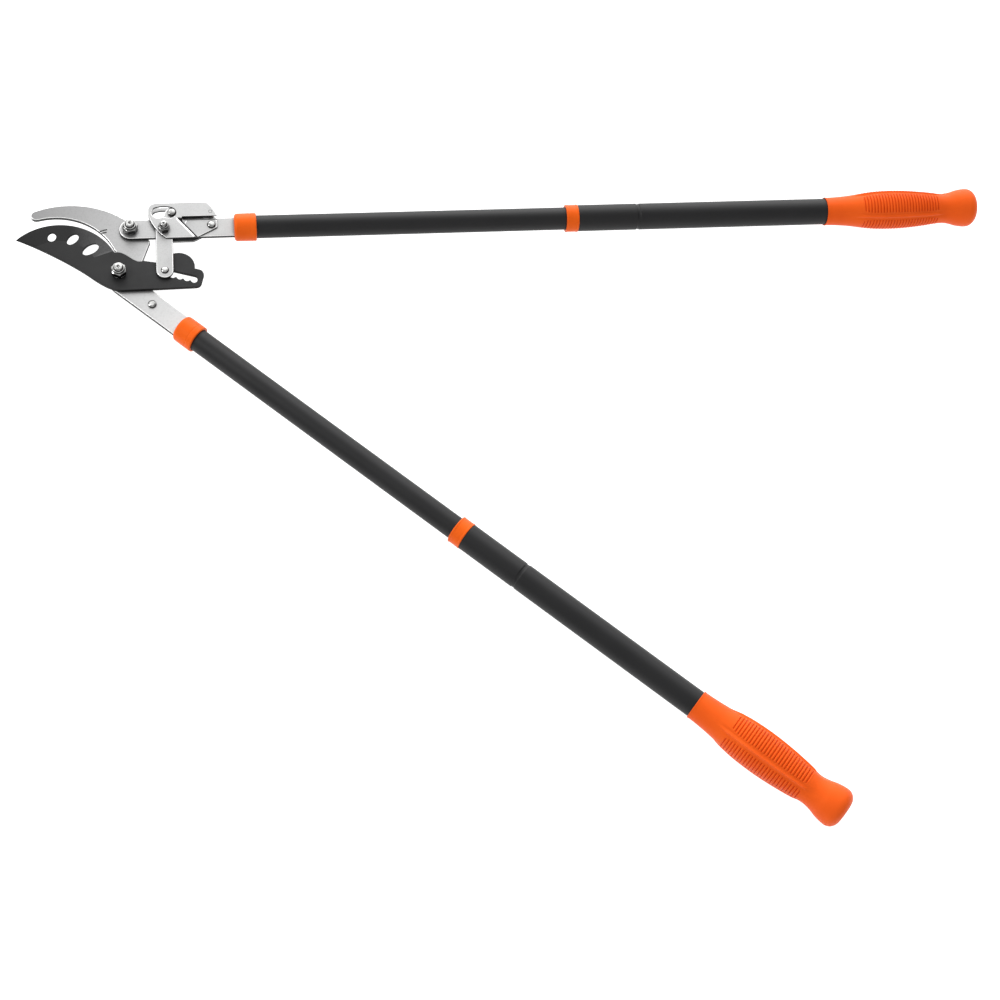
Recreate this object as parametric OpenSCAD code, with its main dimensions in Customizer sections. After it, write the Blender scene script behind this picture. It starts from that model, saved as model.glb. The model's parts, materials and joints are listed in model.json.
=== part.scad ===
// Telescopic ratchet bypass loppers, laid flat.
// Origin: on the main pivot's axis, at the underside of its bolt head.
// +X runs along the upper handle, +Z points up out of the flat blade plane.

/* [Cutting head] */
// Thickness of the cutting blade and of the upper lever
blade_t = 3.5; // [3:0.1:4.5]
// Thickness of the hook and of the lower tang
hook_t = 4; // [3:0.1:5]
// Radius of the cutting edge arc
edge_r = 57.7; // [57:0.1:58.5]
// Width of the ground bevel behind the cutting edge
bevel_w = 20; // [8:0.5:22]
// Thickness left at the cutting edge
edge_t = 0.4; // [0.2:0.1:1]
// Radius of the hook's outer arc
hook_outer_r = 88.4; // [87:0.1:90]
// Radius of the hook's inner arc
hook_inner_r = 59.8; // [59:0.1:60.5]

/* [Ratchet linkage] */
// Handle pivot, measured from the main pivot
lever_pivot = [12, 48.2];
// Link pivot on the upper lever
link_pivot = [44, 45];
// Ratchet pin in the tail slot
ratchet_pin_at = [43.3, -0.6];
// Stop pin on the link's upper arm
stop_pin_at = [52, 63.3];
// Spring anchor between the two plates
anchor_at = [88.9, 63.3];
// Thickness of the ratchet link
link_t = 3; // [2.5:0.1:4]
// Thickness of the front and rear plates
plate_t = 1.5; // [1.2:0.1:2]
// Number of seats cut along the tail slot
seat_count = 5; // [3:1:5]
// Distance between two seats
seat_pitch = 6.9; // [6.5:0.1:6.9]

/* [Handles] */
// Angle between the two handles
spread = 42.7; // [40:0.1:46]
// Outer tube diameter
outer_d = 26; // [26:0.1:26.2]
// Inner tube diameter
inner_d = 22.2; // [22:0.1:22.2]
// Tube wall thickness
tube_wall = 1.2; // [1:0.1:1.3]
// Length of inner tube that shows at full extension
inner_shown = 306.2; // [300:0.1:330]
// Width of the lock ring's head
ring_w = 12.4; // [10:0.2:16]
// Distance from the collar to the crimped stop groove
groove_at = 380; // [376:0.5:400]
// Distance from the collar to the grip
grip_at = 575.7; // [560:0.5:600]
// Length of the grip
grip_len = 160.7; // [155:0.5:165]
// Largest radius of the grip
grip_r = 19.3; // [18:0.1:21]

/* [Hidden] */
$fn = 96;

// Running gap between stacked plates, and clearances of pins and sliding parts
gap = 0.1;
pin_gap = 0.05;
slide_gap = 0.08;
hair = 0.01;

// Heights of the stacked plates: the blade slides on the hook at plane_z
main_head_h = 5.3;
hook_z = main_head_h;
plane_z = hook_z + hook_t + gap;
rear_z = plane_z - plate_t;
lever_top = plane_z + blade_t;
link_z = lever_top + gap;
front_z = link_z + link_t + gap;
front_top = front_z + plate_t;

// Arc centres of the head
edge_c = [-55.9, -0.4];
hook_outer_c = [-46.2, -8.4];
hook_inner_c = [-59.6, 6];
hook_tip_r = 5.2;
hook_tip_angle = 111.6;
hook_corner_angle = 30;
hump_c = [56.3, 5];
hump_r = 15.3;

// Widths of the link and the levers
lever_half_w = 10.6;
link_r = 8.2;
link_head_r = 6.6;
lower_half_w = 11.8;
lower_tang_y = -4.6;

// Tail slot: an inner run that follows the link, then a sloping run with seats
pin_r = 1.7;
pin_head_r = 3.8;
slot_inner = [37, -0.15];
slot_inner_half_w = 2.05;
slot_mid = [43.3, -0.7];
slot_slope = -17.1;
slot_half_w = 3;
slot_rise = 0.3;
slot_start_run = 3.2;
slot_end_run = 28.3;
slot_neck_run = 5;
slot_neck_half_w = 2.6;
seat_r = 3.1;
seat_drop = 1.3;
seat_start = 1.1;

// Arc slot of the plates
arc_slot_r = 19;
arc_slot_half_w = 6;
arc_slot_from = 72;
arc_slot_to = 106;

// Fasteners
main_r = 4;
washer_r = 6.6;
washer_h = 1.1;
nut_h = 8;
link_head_h = 4;
link_nut_h = 7.4;
link_bolt_end = 10;
tang_pin_r = 2.5;
tang_pin_at = -10;
bush_r = 4.5;
main_af = 13;
link_bolt_r = 3;
link_bolt_af = 10;
bolt_end_z = plane_z + 14.8;
anchor_r = 2;
stop_pin_r = 1.6;
stop_head_r = 3.9;
stop_foot_r = 2.6;
rivet_r = 2;
rivet_head_r = 4.2;
rivet_at = [89.3, 50];
stud_along = 45;
stud_r = 4;
stud_h = 2.2;

// Bend of the front plate, and the relief slot at its end
bend_from = [58.8, 53.2];
bend_angle = 37.8;
bend_run = 3.2;
bend_len = 28;
relief_r = 1.3;
relief_y = [55.8, 58.4];
relief_x = 62.5;

// Tension spring, and how far the stop pin travels in its loop
spring_r = 2.5;
spring_wire = 0.8;
spring_z = plane_z + 3.1;
spring_from = 61.5;
spring_to = 82.5;
loop_z = plane_z + 1.5;
loop_in = [-0.62, 0.26];
loop_out = [1.85, -0.92];
loop_slack = 0.15;

// Handles: where each collar ends, and the height of each tube's axis
collar_len = 21.5;
collar_front_r = 5.5;
shoulder_in = 3.4;
collar_r = 13.5;
upper_end = [132.4, 48.2];
upper_z = plane_z + blade_t / 2;
lower_end = [102.3, -5.4];
lower_z = hook_z + hook_t / 2;
neck_w = 16;
neck_from = -18.5;
neck_to = 24;
insert_len = 44;
inner_r = inner_d / 2;
inner_bore = inner_r - tube_wall;
outer_r = outer_d / 2;
outer_bore = outer_r - tube_wall;
tube_start = -17.5;
inner_end = groove_at + 2.2;
outer_start = inner_shown + ring_w;
outer_end = grip_at + grip_len - 9;
plug_flange = 3.6;
plug_inset = 22;
stub_r = 6;
stub_len = 18;
ring_sleeve = 26;
groove_half_w = 1.6;
groove_depth = 0.55;

// Points of an arc about c, and of a cubic curve
function arc(c, r, from, to, n = 24) =
    [for (i = [0:n]) c + r * [cos(from + (to - from) * i / n), sin(from + (to - from) * i / n)]];
function curve(a, b, c, d, n = 20) =
    [for (i = [0:n]) let (t = i / n, s = 1 - t) s*s*s*a + 3*s*s*t*b + 3*s*t*t*c + t*t*t*d];
// A point of the lower handle's frame, turned into the head's frame
function low(p) = [p.x * cos(spread) + p.y * sin(spread), p.y * cos(spread) - p.x * sin(spread)];

// Bar with round ends; its sides lie a hair inside the circles, so no face is tangent
module bar(p, q, r) {
    d = q - p;
    side = r - hair;
    translate(p) circle(r);
    translate(q) circle(r);
    translate(p) rotate(atan2(d.y, d.x)) translate([0, -side]) square([norm(d), 2 * side]);
}

module slab(z, t) { translate([0, 0, z]) linear_extrude(t) children(); }

module rod(p, r, z, h) { translate([p.x, p.y, z]) cylinder(h = h, r = r); }

module hex(p, af, z, h) { translate([p.x, p.y, z]) cylinder(h = h, r = af / sqrt(3), $fn = 6); }

// Frames of the two handles: x = 0 where the collar meets the inner tube
module upper_frame() { translate([upper_end.x, upper_end.y, upper_z]) children(); }
module lower_frame() {
    rotate(-spread) translate([lower_end.x, lower_end.y, lower_z]) children();
}
module turned(points) { rotate([0, 90, 0]) rotate_extrude() polygon(points); }
module tube(from, to, r, bore) {
    translate([from, 0, 0]) rotate([0, 90, 0]) difference() {
        cylinder(h = to - from, r = r);
        translate([0, 0, -1]) cylinder(h = to - from + 2, r = bore);
    }
}

// ---- Cutting head ----

module hook_outline() {
    tip_c = hook_outer_c + (hook_outer_r - hook_tip_r) * [cos(hook_tip_angle), sin(hook_tip_angle)];
    polygon(concat(
        arc(hook_outer_c, hook_outer_r, hook_corner_angle, hook_tip_angle, 40),
        arc(tip_c, hook_tip_r, hook_tip_angle, hook_tip_angle + 174, 16),
        arc(hook_inner_c, hook_inner_r, 105.8, 21.3, 36),
        curve([-3.2, 28], [-0.5, 21], [-14.5, 12], [-14.8, 0], 14),
        arc([0, 0], 14.8, 182, 222, 8),
        [low([8, lower_tang_y - lower_half_w])],
        [low([lower_end.x - collar_len + shoulder_in, lower_tang_y - lower_half_w])],
        [low([lower_end.x - collar_len + shoulder_in, lower_tang_y + lower_half_w])],
        [low([38, lower_tang_y + lower_half_w])],
        curve([26, -12.5], [18, -4], [18.5, 4], [22.5, 14.5], 12)
    ));
}

module neck_plan(run_in) {
    translate([neck_from - run_in, -neck_w / 2]) square([neck_to - neck_from + run_in, neck_w]);
}

module hook_jaw() {
    color("silver") difference() {
        union() {
            slab(hook_z, hook_t) {
                hook_outline();
                rotate(-spread) translate(lower_end) neck_plan(4);
            }
        }
        rod([0, 0], main_r + pin_gap, hook_z - 1, hook_t + 2);
        rod(lever_pivot, main_r + pin_gap, hook_z - 1, hook_t + 2);
        lower_frame() rod([tang_pin_at, 0], tang_pin_r, -hook_t, 2 * hook_t);
        rod(low([stud_along, lower_tang_y]), tang_pin_r, hook_z - 1, hook_t + 2);
    }
}

module tail_slot() {
    slope = [cos(slot_slope), sin(slot_slope)];
    down = [sin(slot_slope), -cos(slot_slope)];
    bar(slot_inner, slot_mid, slot_inner_half_w);
    band = slot_mid - slot_rise * down;
    bar(band + slot_start_run * slope, band + slot_end_run * slope, slot_half_w);
    bar(slot_mid, slot_mid + slot_neck_run * slope, slot_neck_half_w);
    for (i = [0:seat_count - 1])
        translate(slot_mid + (seat_start + seat_pitch * i) * slope + seat_drop * down)
            circle(i == 0 ? seat_r - 1 : seat_r);
}

module blade_outline() {
    tip = [-95.5, 41];
    heel_angle = 27.5;
    tip_angle = atan2(tip.y - edge_c.y, tip.x - edge_c.x);
    polygon(concat(
        arc(edge_c, edge_r, tip_angle, heel_angle, 44),
        curve([-3.6, 22.8], [7.2, 24.8], [14.6, 8.3], [22.9, 12.6], 14),
        [[36, 10.1]],
        curve([41, 9.3], [46, 9.3], [46, 16], [50.6, 19.2], 8),
        arc(hump_c, hump_r, 104, -10, 26),
        arc([73.4, -4.8], 6.4, 62, -8, 10),
        arc([72, -12.6], 5.6, -8, -88, 10),
        [[38, -18.9]],
        curve([3, -19.3], [-8, -19.3], [-19.4, -9.6], [-27, -3], 16),
        curve([-28, -2.1], [-42.1, 10.1], [-72, 29.5], tip + [0.6, -0.6], 16)
    ));
}

module oval(c, long, short, tilt) {
    translate(c) rotate(tilt) polygon([for (i = [0:47]) [long * cos(7.5 * i), short * sin(7.5 * i)]]);
}

module blade_windows() {
    oval([-62, 42.3], 5.2, 4, 80);
    oval([-42.5, 39.2], 7.2, 4.3, 52);
    oval([-26, 27.4], 8.9, 4.9, 38);
}

// Cone that grinds the top face down to the cutting edge
module bevel() {
    past_edge = 1;
    floor_z = edge_t - past_edge * (blade_t - edge_t) / bevel_w;
    translate([edge_c.x, edge_c.y, plane_z]) rotate_extrude() polygon([
        [edge_r - bevel_w, blade_t], [edge_r + past_edge, floor_z],
        [edge_r + past_edge, blade_t + 2], [edge_r - bevel_w, blade_t + 2]
    ]);
}

module cutting_blade() {
    color("dimgray") difference() {
        slab(plane_z, blade_t) difference() {
            blade_outline();
            blade_windows();
            tail_slot();
        }
        intersection() {
            bevel();
            translate([-110, 0, 0]) linear_extrude(40)
                polygon([[0, 0], [88, 18], [106, 24.6], [112, 24.6], [112, 80], [0, 80]]);
        }
        rod([0, 0], main_r + pin_gap, plane_z - 1, blade_t + 2);
    }
}

// Hexagon bolt with its head underneath and a lathe centre in its end
module bolt(p, r, af, head_z, head_h, top) {
    difference() {
        union() {
            hex(p, af, head_z - head_h, head_h);
            rod(p, r, head_z - 0.5, top - head_z + 0.5);
        }
        rod(p, r * 0.3, top - 1, 2);
    }
}

// Self-locking nut: a hexagon with a round collar above it
module lock_nut(p, r, af, z, h) {
    difference() {
        union() {
            hex(p, af, z, h * 0.72);
            rod(p, af * 0.46, z, h);
        }
        rod(p, r, z - 1, h + 2);
    }
}

module washer(p, r, ring_r, z, h) {
    difference() {
        rod(p, ring_r, z, h);
        rod(p, r, z - 1, h + 2);
    }
}

module main_pivot_bolt() {
    color("lightgray") bolt([0, 0], main_r, main_af, hook_z, main_head_h, bolt_end_z);
}
module main_pivot_washer() { color("gray") washer([0, 0], main_r, washer_r, lever_top + gap, washer_h); }
module main_pivot_nut() {
    color("lightgray") lock_nut([0, 0], main_r, main_af, lever_top + gap + washer_h, nut_h);
}
module handle_pivot_bolt() {
    color("lightgray") bolt(lever_pivot, main_r, main_af, hook_z, main_head_h, bolt_end_z);
}
module handle_pivot_washer() {
    color("gray") washer(lever_pivot, main_r, washer_r, lever_top + gap, washer_h);
}
module handle_pivot_nut() {
    color("lightgray") lock_nut(lever_pivot, main_r, main_af, lever_top + gap + washer_h, nut_h);
}
module stop_stud() {
    p = low([stud_along, lower_tang_y]);
    color("silver") union() {
        rod(p, tang_pin_r, hook_z, hook_t + 1);
        rod(p, stud_r, hook_z + hook_t, stud_h);
    }
}

// ---- Upper lever and ratchet ----

module upper_lever() {
    lever_end = upper_end.x - collar_len + shoulder_in;
    color("silver") difference() {
        union() {
            slab(plane_z, blade_t) {
                translate(lever_pivot) circle(lever_half_w);
                translate([lever_pivot.x, lever_pivot.y - lever_half_w])
                    square([lever_end - lever_pivot.x, 2 * lever_half_w]);
                translate(upper_end) neck_plan(4);
            }
        }
        rod(lever_pivot, main_r + pin_gap, plane_z - 1, blade_t + 2);
        rod(link_pivot, link_bolt_r, plane_z - 1, blade_t + 2);
        rod(rivet_at, rivet_r, plane_z - 1, blade_t + 2);
        upper_frame() rod([tang_pin_at, 0], tang_pin_r, -blade_t, 2 * blade_t);
    }
}

module plate_outline() {
    polygon(concat(
        arc([37.6, 66.1], 8.4, 180, 90, 10),
        [[84.5, 74.5]],
        curve([85.5, 74.1], [89.5, 70.5], [93.6, 63], [95.2, 57.3], 8),
        [[95.2, 47.5]],
        arc([93.2, 47.3], 2, 0, -64, 5),
        [[74, 35.6], [71, 34.5]],
        curve([45.8, 34.5], [37.5, 41], [29.2, 55], [29.2, 65], 12)
    ));
}

module arc_slot() {
    from = arc_slot_from;
    to = arc_slot_to;
    translate(link_pivot) {
        rotate(from) translate([arc_slot_r, 0]) circle(arc_slot_half_w);
        rotate(to) translate([arc_slot_r, 0]) circle(arc_slot_half_w);
        polygon(concat(
            arc([0, 0], arc_slot_r + arc_slot_half_w - 2 * hair, from, to, 12),
            arc([0, 0], arc_slot_r - arc_slot_half_w + 2 * hair, to, from, 12)
        ));
    }
}

// The raised part of the front plate steps down to its riveted ear along a bend
module ear_side(shift) {
    translate(bend_from) rotate(bend_angle) translate([shift, -40]) square([60, 60]);
}
module front_ratchet_plate() {
    ear_z = lever_top;
    color("gainsboro") difference() {
        union() {
            slab(front_z, plate_t) difference() {
                plate_outline();
                arc_slot();
                intersection() {
                    ear_side(0);
                    translate([bend_from.x + 0.3, 20]) square([60, relief_y[0] - 19.8]);
                }
                bar([relief_x, relief_y[0] + relief_r], [relief_x + 60, relief_y[0] + relief_r], relief_r);
            }
            slab(ear_z, plate_t) intersection() {
                plate_outline();
                ear_side(bend_run);
                translate([bend_from.x, 20]) square([60, relief_y[0] - 20]);
            }
            intersection() {
                slab(ear_z, front_top - ear_z) plate_outline();
                translate([bend_from.x, bend_from.y, 0]) rotate([0, 0, bend_angle]) rotate([90, 0, 0])
                    linear_extrude(bend_len) polygon([
                        [-0.2, front_z], [-0.2, front_top], [0.6, front_top],
                        [bend_run + 0.2, ear_z + plate_t], [bend_run + 0.2, ear_z], [bend_run - 0.6, ear_z]
                    ]);
            }
        }
        rod(link_pivot, link_bolt_r, front_z - 1, plate_t + 2);
        rod(anchor_at, anchor_r, front_z - 1, plate_t + 2);
        rod(rivet_at, rivet_r, ear_z - 1, plate_t + 2);
    }
}

module rear_ratchet_plate() {
    color("gainsboro") difference() {
        slab(rear_z, plate_t) difference() {
            plate_outline();
            arc_slot();
        }
        rod(link_pivot, link_bolt_r, rear_z - 1, plate_t + 2);
        rod(anchor_at, anchor_r, rear_z - 1, plate_t + 2);
        rod(rivet_at, rivet_r, rear_z - 1, plate_t + 2);
    }
}

module ratchet_link() {
    color("silver") difference() {
        slab(link_z, link_t) {
            bar(ratchet_pin_at, link_pivot, link_r);
            bar(link_pivot, stop_pin_at, link_head_r);
        }
        rod(link_pivot, bush_r + pin_gap, link_z - 1, link_t + 2);
        rod(ratchet_pin_at, pin_r, link_z - 1, link_t + 2);
        rod(stop_pin_at, stop_pin_r, link_z - 1, link_t + 2);
    }
}

module link_bush() {
    color("gray") washer(link_pivot, link_bolt_r, bush_r, lever_top, link_t + 2 * gap);
}
module link_pivot_bolt() {
    color("lightgray")
        bolt(link_pivot, link_bolt_r, link_bolt_af, rear_z, link_head_h, front_top + link_bolt_end);
}
module link_pivot_nut() {
    color("lightgray") lock_nut(link_pivot, link_bolt_r, link_bolt_af, front_top, link_nut_h);
}

module ratchet_pin() {
    top = link_z + link_t;
    foot = plane_z - gap - 1.6;
    color("silver") union() {
        rod(ratchet_pin_at, pin_r, foot, top + 1 - foot);
        rod(ratchet_pin_at, pin_head_r, top, 1.8);
        rod(ratchet_pin_at, rivet_head_r, foot, 1.6);
    }
}

module link_stop_pin() {
    color("silver") union() {
        rod(stop_pin_at, stop_pin_r, plane_z + 0.3, front_top + 1 - plane_z);
        rod(stop_pin_at, stop_head_r, front_top + 0.2, 1.5);
        rod(stop_pin_at, stop_foot_r, plane_z + 0.3, 0.7);
    }
}

module spring_anchor_pin() {
    color("silver") union() {
        rod(anchor_at, anchor_r, rear_z, front_top - rear_z);
        rod(anchor_at, anchor_r + 1, rear_z - 0.9, 0.9);
    }
}

// Tension spring: a hollow coil with a loop at each end
module loop_rod(from, to) {
    translate([from, anchor_at.y, loop_z]) rotate([0, 90, 0])
        cylinder(h = to - from, r = spring_wire / 2);
}
module ratchet_spring() {
    loop_r = stop_pin_r + loop_slack;
    color("dimgray") union() {
        translate([0, anchor_at.y, spring_z]) tube(spring_from, spring_to, spring_r, spring_r - spring_wire);
        loop_rod(spring_to - 1, anchor_at.x - anchor_r - 0.3);
        loop_rod(stop_pin_at.x + loop_out.x + loop_r + 0.2, spring_from + 1);
        translate([0, 0, loop_z - spring_wire / 2]) linear_extrude(spring_wire) {
            difference() {
                translate(anchor_at) circle(anchor_r + 0.1 + spring_wire);
                translate(anchor_at) circle(anchor_r + 0.1);
            }
            difference() {
                bar(stop_pin_at + loop_in, stop_pin_at + loop_out, loop_r + spring_wire);
                bar(stop_pin_at + loop_in, stop_pin_at + loop_out, loop_r);
            }
        }
    }
}

module plate_rivet() {
    color("silver") union() {
        rod(rivet_at, rivet_r, rear_z - 1, lever_top + plate_t - rear_z + 2);
        rod(rivet_at, rivet_head_r, lever_top + plate_t, 2.3);
        rod(rivet_at, rivet_head_r, rear_z - 1.4, 1.4);
    }
}

// ---- Handles, each drawn once in the handle's own frame ----

module collar(t, wide) {
    color("orangered") difference() {
        turned(concat(
            [[0, -collar_len]],
            arc([collar_r - collar_front_r, -collar_len + collar_front_r], collar_front_r, -90, 0, 8),
            [[collar_r, -0.8], [collar_r - 0.8, 0], [0, 0]]
        ));
        translate([tube_start, 0, 0]) rotate([0, 90, 0]) cylinder(h = 20, r = inner_r);
        translate([-collar_len - 1, -wide, -t / 2]) cube([1.2 + shoulder_in, 2 * wide, t]);
        translate([-collar_len + 3, -neck_w / 2, -t / 2]) cube([8, neck_w, t]);
        rod([tang_pin_at, 0], tang_pin_r, -20, 20);
    }
}

module tang_insert(t) {
    color("dimgray") difference() {
        translate([tube_start, 0, 0]) rotate([0, 90, 0]) cylinder(h = insert_len, r = inner_bore);
        translate([tube_start - 1, -neck_w / 2, -t / 2]) cube([neck_to - tube_start + 1, neck_w, t]);
        rod([tang_pin_at, 0], tang_pin_r, -20, 28);
    }
}

module tang_rivet() {
    color("silver") rod([tang_pin_at, 0], tang_pin_r, 0.4 - collar_r, collar_r + 7.6);
}

module inner_tube() {
    color("black") difference() {
        tube(tube_start, inner_end, inner_r, inner_bore);
        rod([tang_pin_at, 0], tang_pin_r, -20, 20);
    }
}

module stop_plug() {
    flange = inner_end + plug_flange;
    color("dimgray") turned([
        [0, inner_end - plug_inset], [inner_bore, inner_end - plug_inset], [inner_bore, inner_end],
        [outer_bore - 0.2, inner_end], [outer_bore - 0.2, flange], [stub_r, flange],
        [stub_r, flange + stub_len], [stub_r + 2.5, flange + stub_len],
        [stub_r + 2.5, flange + stub_len + 2], [0, flange + stub_len + 2]
    ]);
}

module lock_cam() {
    from = inner_end + plug_flange + 0.3;
    color("orangered") difference() {
        tube(from, from + stub_len - 0.6, outer_bore - slide_gap, stub_r + pin_gap);
        translate([from - 1, 0, -1]) cube([stub_len + 2, outer_r, 2]);
    }
}

module lock_ring() {
    head_r = outer_r + 0.6;
    bore = inner_r + slide_gap;
    color("orangered") turned([
        [bore, inner_shown], [head_r - 1, inner_shown], [head_r, inner_shown + 1],
        [head_r, outer_start - 1], [head_r - 0.6, outer_start], [outer_bore, outer_start],
        [outer_bore, outer_start + ring_sleeve], [bore, outer_start + ring_sleeve]
    ]);
}

module outer_tube() {
    g = groove_half_w;
    d = groove_depth;
    color("black") turned([
        [outer_bore, outer_start], [outer_r, outer_start], [outer_r, groove_at - g],
        [outer_r - d, groove_at - g / 2], [outer_r - d, groove_at + g / 2],
        [outer_r, groove_at + g], [outer_r, outer_end], [outer_bore, outer_end],
        [outer_bore, groove_at + g], [outer_bore - d, groove_at + g / 2],
        [outer_bore - d, groove_at - g / 2], [outer_bore, groove_at - g]
    ]);
}

module end_plug() {
    color("dimgray") turned([
        [0, outer_end - 20], [outer_bore - 1.5, outer_end - 20], [outer_bore, outer_end - 18],
        [outer_bore, outer_end], [outer_r - 0.2, outer_end], [outer_r - 0.2, outer_end + 1.5],
        [0, outer_end + 1.5]
    ]);
}

module grip() {
    neck_r = grip_r - 4.3;
    skirt_r = outer_r + 0.8;
    at = [0, grip_at];
    bottom = outer_end + 1.6;
    color("orangered") turned(concat(
        [[outer_r, bottom], [outer_r, grip_at]],
        curve([skirt_r, grip_at], at + [skirt_r + 0.6, 28], at + [grip_r, 38], at + [grip_r, 70], 18),
        curve([grip_r, grip_at + 74], at + [grip_r, 98], at + [neck_r, 106], at + [neck_r, 125], 16),
        curve([neck_r, grip_at + 127], at + [neck_r, 134], at + [grip_r, 137], at + [grip_r - 0.2, 148], 12),
        curve([grip_r - 0.3, grip_at + 149.5], at + [grip_r, 156], at + [16, 159.5],
              at + [9, grip_len], 10),
        [[0, grip_at + grip_len], [0, bottom]]
    ));
}

module upper_collar() { upper_frame() collar(blade_t, lever_half_w); }
module lower_collar() { lower_frame() collar(hook_t, lower_half_w + 1); }
module upper_tang_insert() { upper_frame() tang_insert(blade_t); }
module lower_tang_insert() { lower_frame() tang_insert(hook_t); }
module upper_tang_rivet() { upper_frame() tang_rivet(); }
module lower_tang_rivet() { lower_frame() tang_rivet(); }
module upper_inner_tube() { upper_frame() inner_tube(); }
module lower_inner_tube() { lower_frame() inner_tube(); }
module upper_stop_plug() { upper_frame() stop_plug(); }
module lower_stop_plug() { lower_frame() stop_plug(); }
module upper_lock_cam() { upper_frame() lock_cam(); }
module lower_lock_cam() { lower_frame() lock_cam(); }
module upper_lock_ring() { upper_frame() lock_ring(); }
module lower_lock_ring() { lower_frame() lock_ring(); }
module upper_outer_tube() { upper_frame() outer_tube(); }
module lower_outer_tube() { lower_frame() outer_tube(); }
module upper_end_plug() { upper_frame() end_plug(); }
module lower_end_plug() { lower_frame() end_plug(); }
module upper_grip() { upper_frame() grip(); }
module lower_grip() { lower_frame() grip(); }

hook_jaw();
cutting_blade();
main_pivot_bolt();
main_pivot_washer();
main_pivot_nut();
handle_pivot_bolt();
handle_pivot_washer();
handle_pivot_nut();
upper_lever();
front_ratchet_plate();
rear_ratchet_plate();
ratchet_link();
link_bush();
link_pivot_bolt();
link_pivot_nut();
ratchet_pin();
link_stop_pin();
spring_anchor_pin();
ratchet_spring();
plate_rivet();
stop_stud();
upper_collar();
lower_collar();
upper_tang_insert();
lower_tang_insert();
upper_tang_rivet();
lower_tang_rivet();
upper_inner_tube();
lower_inner_tube();
upper_stop_plug();
lower_stop_plug();
upper_lock_cam();
lower_lock_cam();
upper_lock_ring();
lower_lock_ring();
upper_outer_tube();
lower_outer_tube();
upper_end_plug();
lower_end_plug();
upper_grip();
lower_grip();
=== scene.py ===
import json
from math import sin, cos, tan, pi, radians, atan2, hypot, sqrt, exp, ceil

import bpy
import bmesh
import numpy as np
from mathutils import Vector, Matrix, Quaternion
from mathutils.geometry import delaunay_2d_cdt


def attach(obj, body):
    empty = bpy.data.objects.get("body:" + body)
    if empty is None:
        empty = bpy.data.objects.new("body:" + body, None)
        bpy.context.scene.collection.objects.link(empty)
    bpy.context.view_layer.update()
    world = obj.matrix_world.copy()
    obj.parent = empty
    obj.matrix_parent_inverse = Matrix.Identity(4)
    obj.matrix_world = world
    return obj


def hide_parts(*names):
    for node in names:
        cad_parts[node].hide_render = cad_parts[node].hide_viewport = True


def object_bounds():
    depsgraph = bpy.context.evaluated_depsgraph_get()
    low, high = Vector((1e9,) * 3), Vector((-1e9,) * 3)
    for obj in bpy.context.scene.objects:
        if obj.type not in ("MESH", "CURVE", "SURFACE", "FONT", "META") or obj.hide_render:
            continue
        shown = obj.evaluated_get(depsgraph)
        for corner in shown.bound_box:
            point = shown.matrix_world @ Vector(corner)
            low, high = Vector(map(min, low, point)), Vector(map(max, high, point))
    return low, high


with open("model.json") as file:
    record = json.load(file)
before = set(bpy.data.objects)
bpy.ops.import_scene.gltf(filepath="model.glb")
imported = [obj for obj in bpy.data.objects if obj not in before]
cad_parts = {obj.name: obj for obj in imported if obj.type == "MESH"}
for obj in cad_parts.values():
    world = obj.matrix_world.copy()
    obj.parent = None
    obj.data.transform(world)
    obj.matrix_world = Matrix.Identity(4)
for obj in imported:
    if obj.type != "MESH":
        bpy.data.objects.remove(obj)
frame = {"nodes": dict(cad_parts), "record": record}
cad_lo, cad_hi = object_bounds()

# ---------------------------------------------------------------- sizes, in millimetres
HOOK_Z, HOOK_T = 5.3, 4.0
PLANE, BLADE_T = 9.4, 3.5
LEVER_TOP = PLANE + BLADE_T
LINK_Z, LINK_T = LEVER_TOP + 0.1, 3.0
FRONT_Z, PLATE_T = 16.1, 1.5
FRONT_TOP = FRONT_Z + PLATE_T
REAR_Z = PLANE - PLATE_T
A, B, C, D = (12, 48.2), (44, 45), (43.3, -0.6), (52, 63.3)
E, F = (88.9, 63.3), (89.3, 50)
SPREAD = radians(42.7)
UPPER_END, UPPER_Z = (132.4, 48.2), PLANE + BLADE_T / 2
LOWER_END, LOWER_Z = (102.3, -5.4), HOOK_Z + HOOK_T / 2
PIVOT_R, PIVOT_BORE = 4.0, 4.05          # M8 bolts: the main and handle pivots
LINK_BOLT_R, LINK_BORE = 3.0, 3.02       # M6 bolt: the link's pivot
LEVER_HALF, TANG_HALF, TANG_OFF = 10.6, 11.8, 0.8
NECK_HALF, NECK_IN, NECK_LEN = 8, 18.1, 41   # the narrow ends of lever and tang, in collar and tube
EDGE_C, EDGE_R, BEVEL_IN, BEVEL_SLOPE = (-55.9, -0.4), 57.7, 37.7, 0.155


def low(x, y):
    return (x * cos(SPREAD) + y * sin(SPREAD), y * cos(SPREAD) - x * sin(SPREAD))


# ---------------------------------------------------------------- outlines
def arc(c, r, a0, a1, n=24):
    return [(c[0] + r * cos(radians(a0 + (a1 - a0) * i / n)),
             c[1] + r * sin(radians(a0 + (a1 - a0) * i / n))) for i in range(n + 1)]


def curve(a, b, c, d, n=20):
    pts = []
    for i in range(n + 1):
        t, s = i / n, 1 - i / n
        k = (s * s * s, 3 * s * s * t, 3 * s * t * t, t * t * t)
        pts.append(tuple(sum(w * p[j] for w, p in zip(k, (a, b, c, d))) for j in (0, 1)))
    return pts


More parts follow.
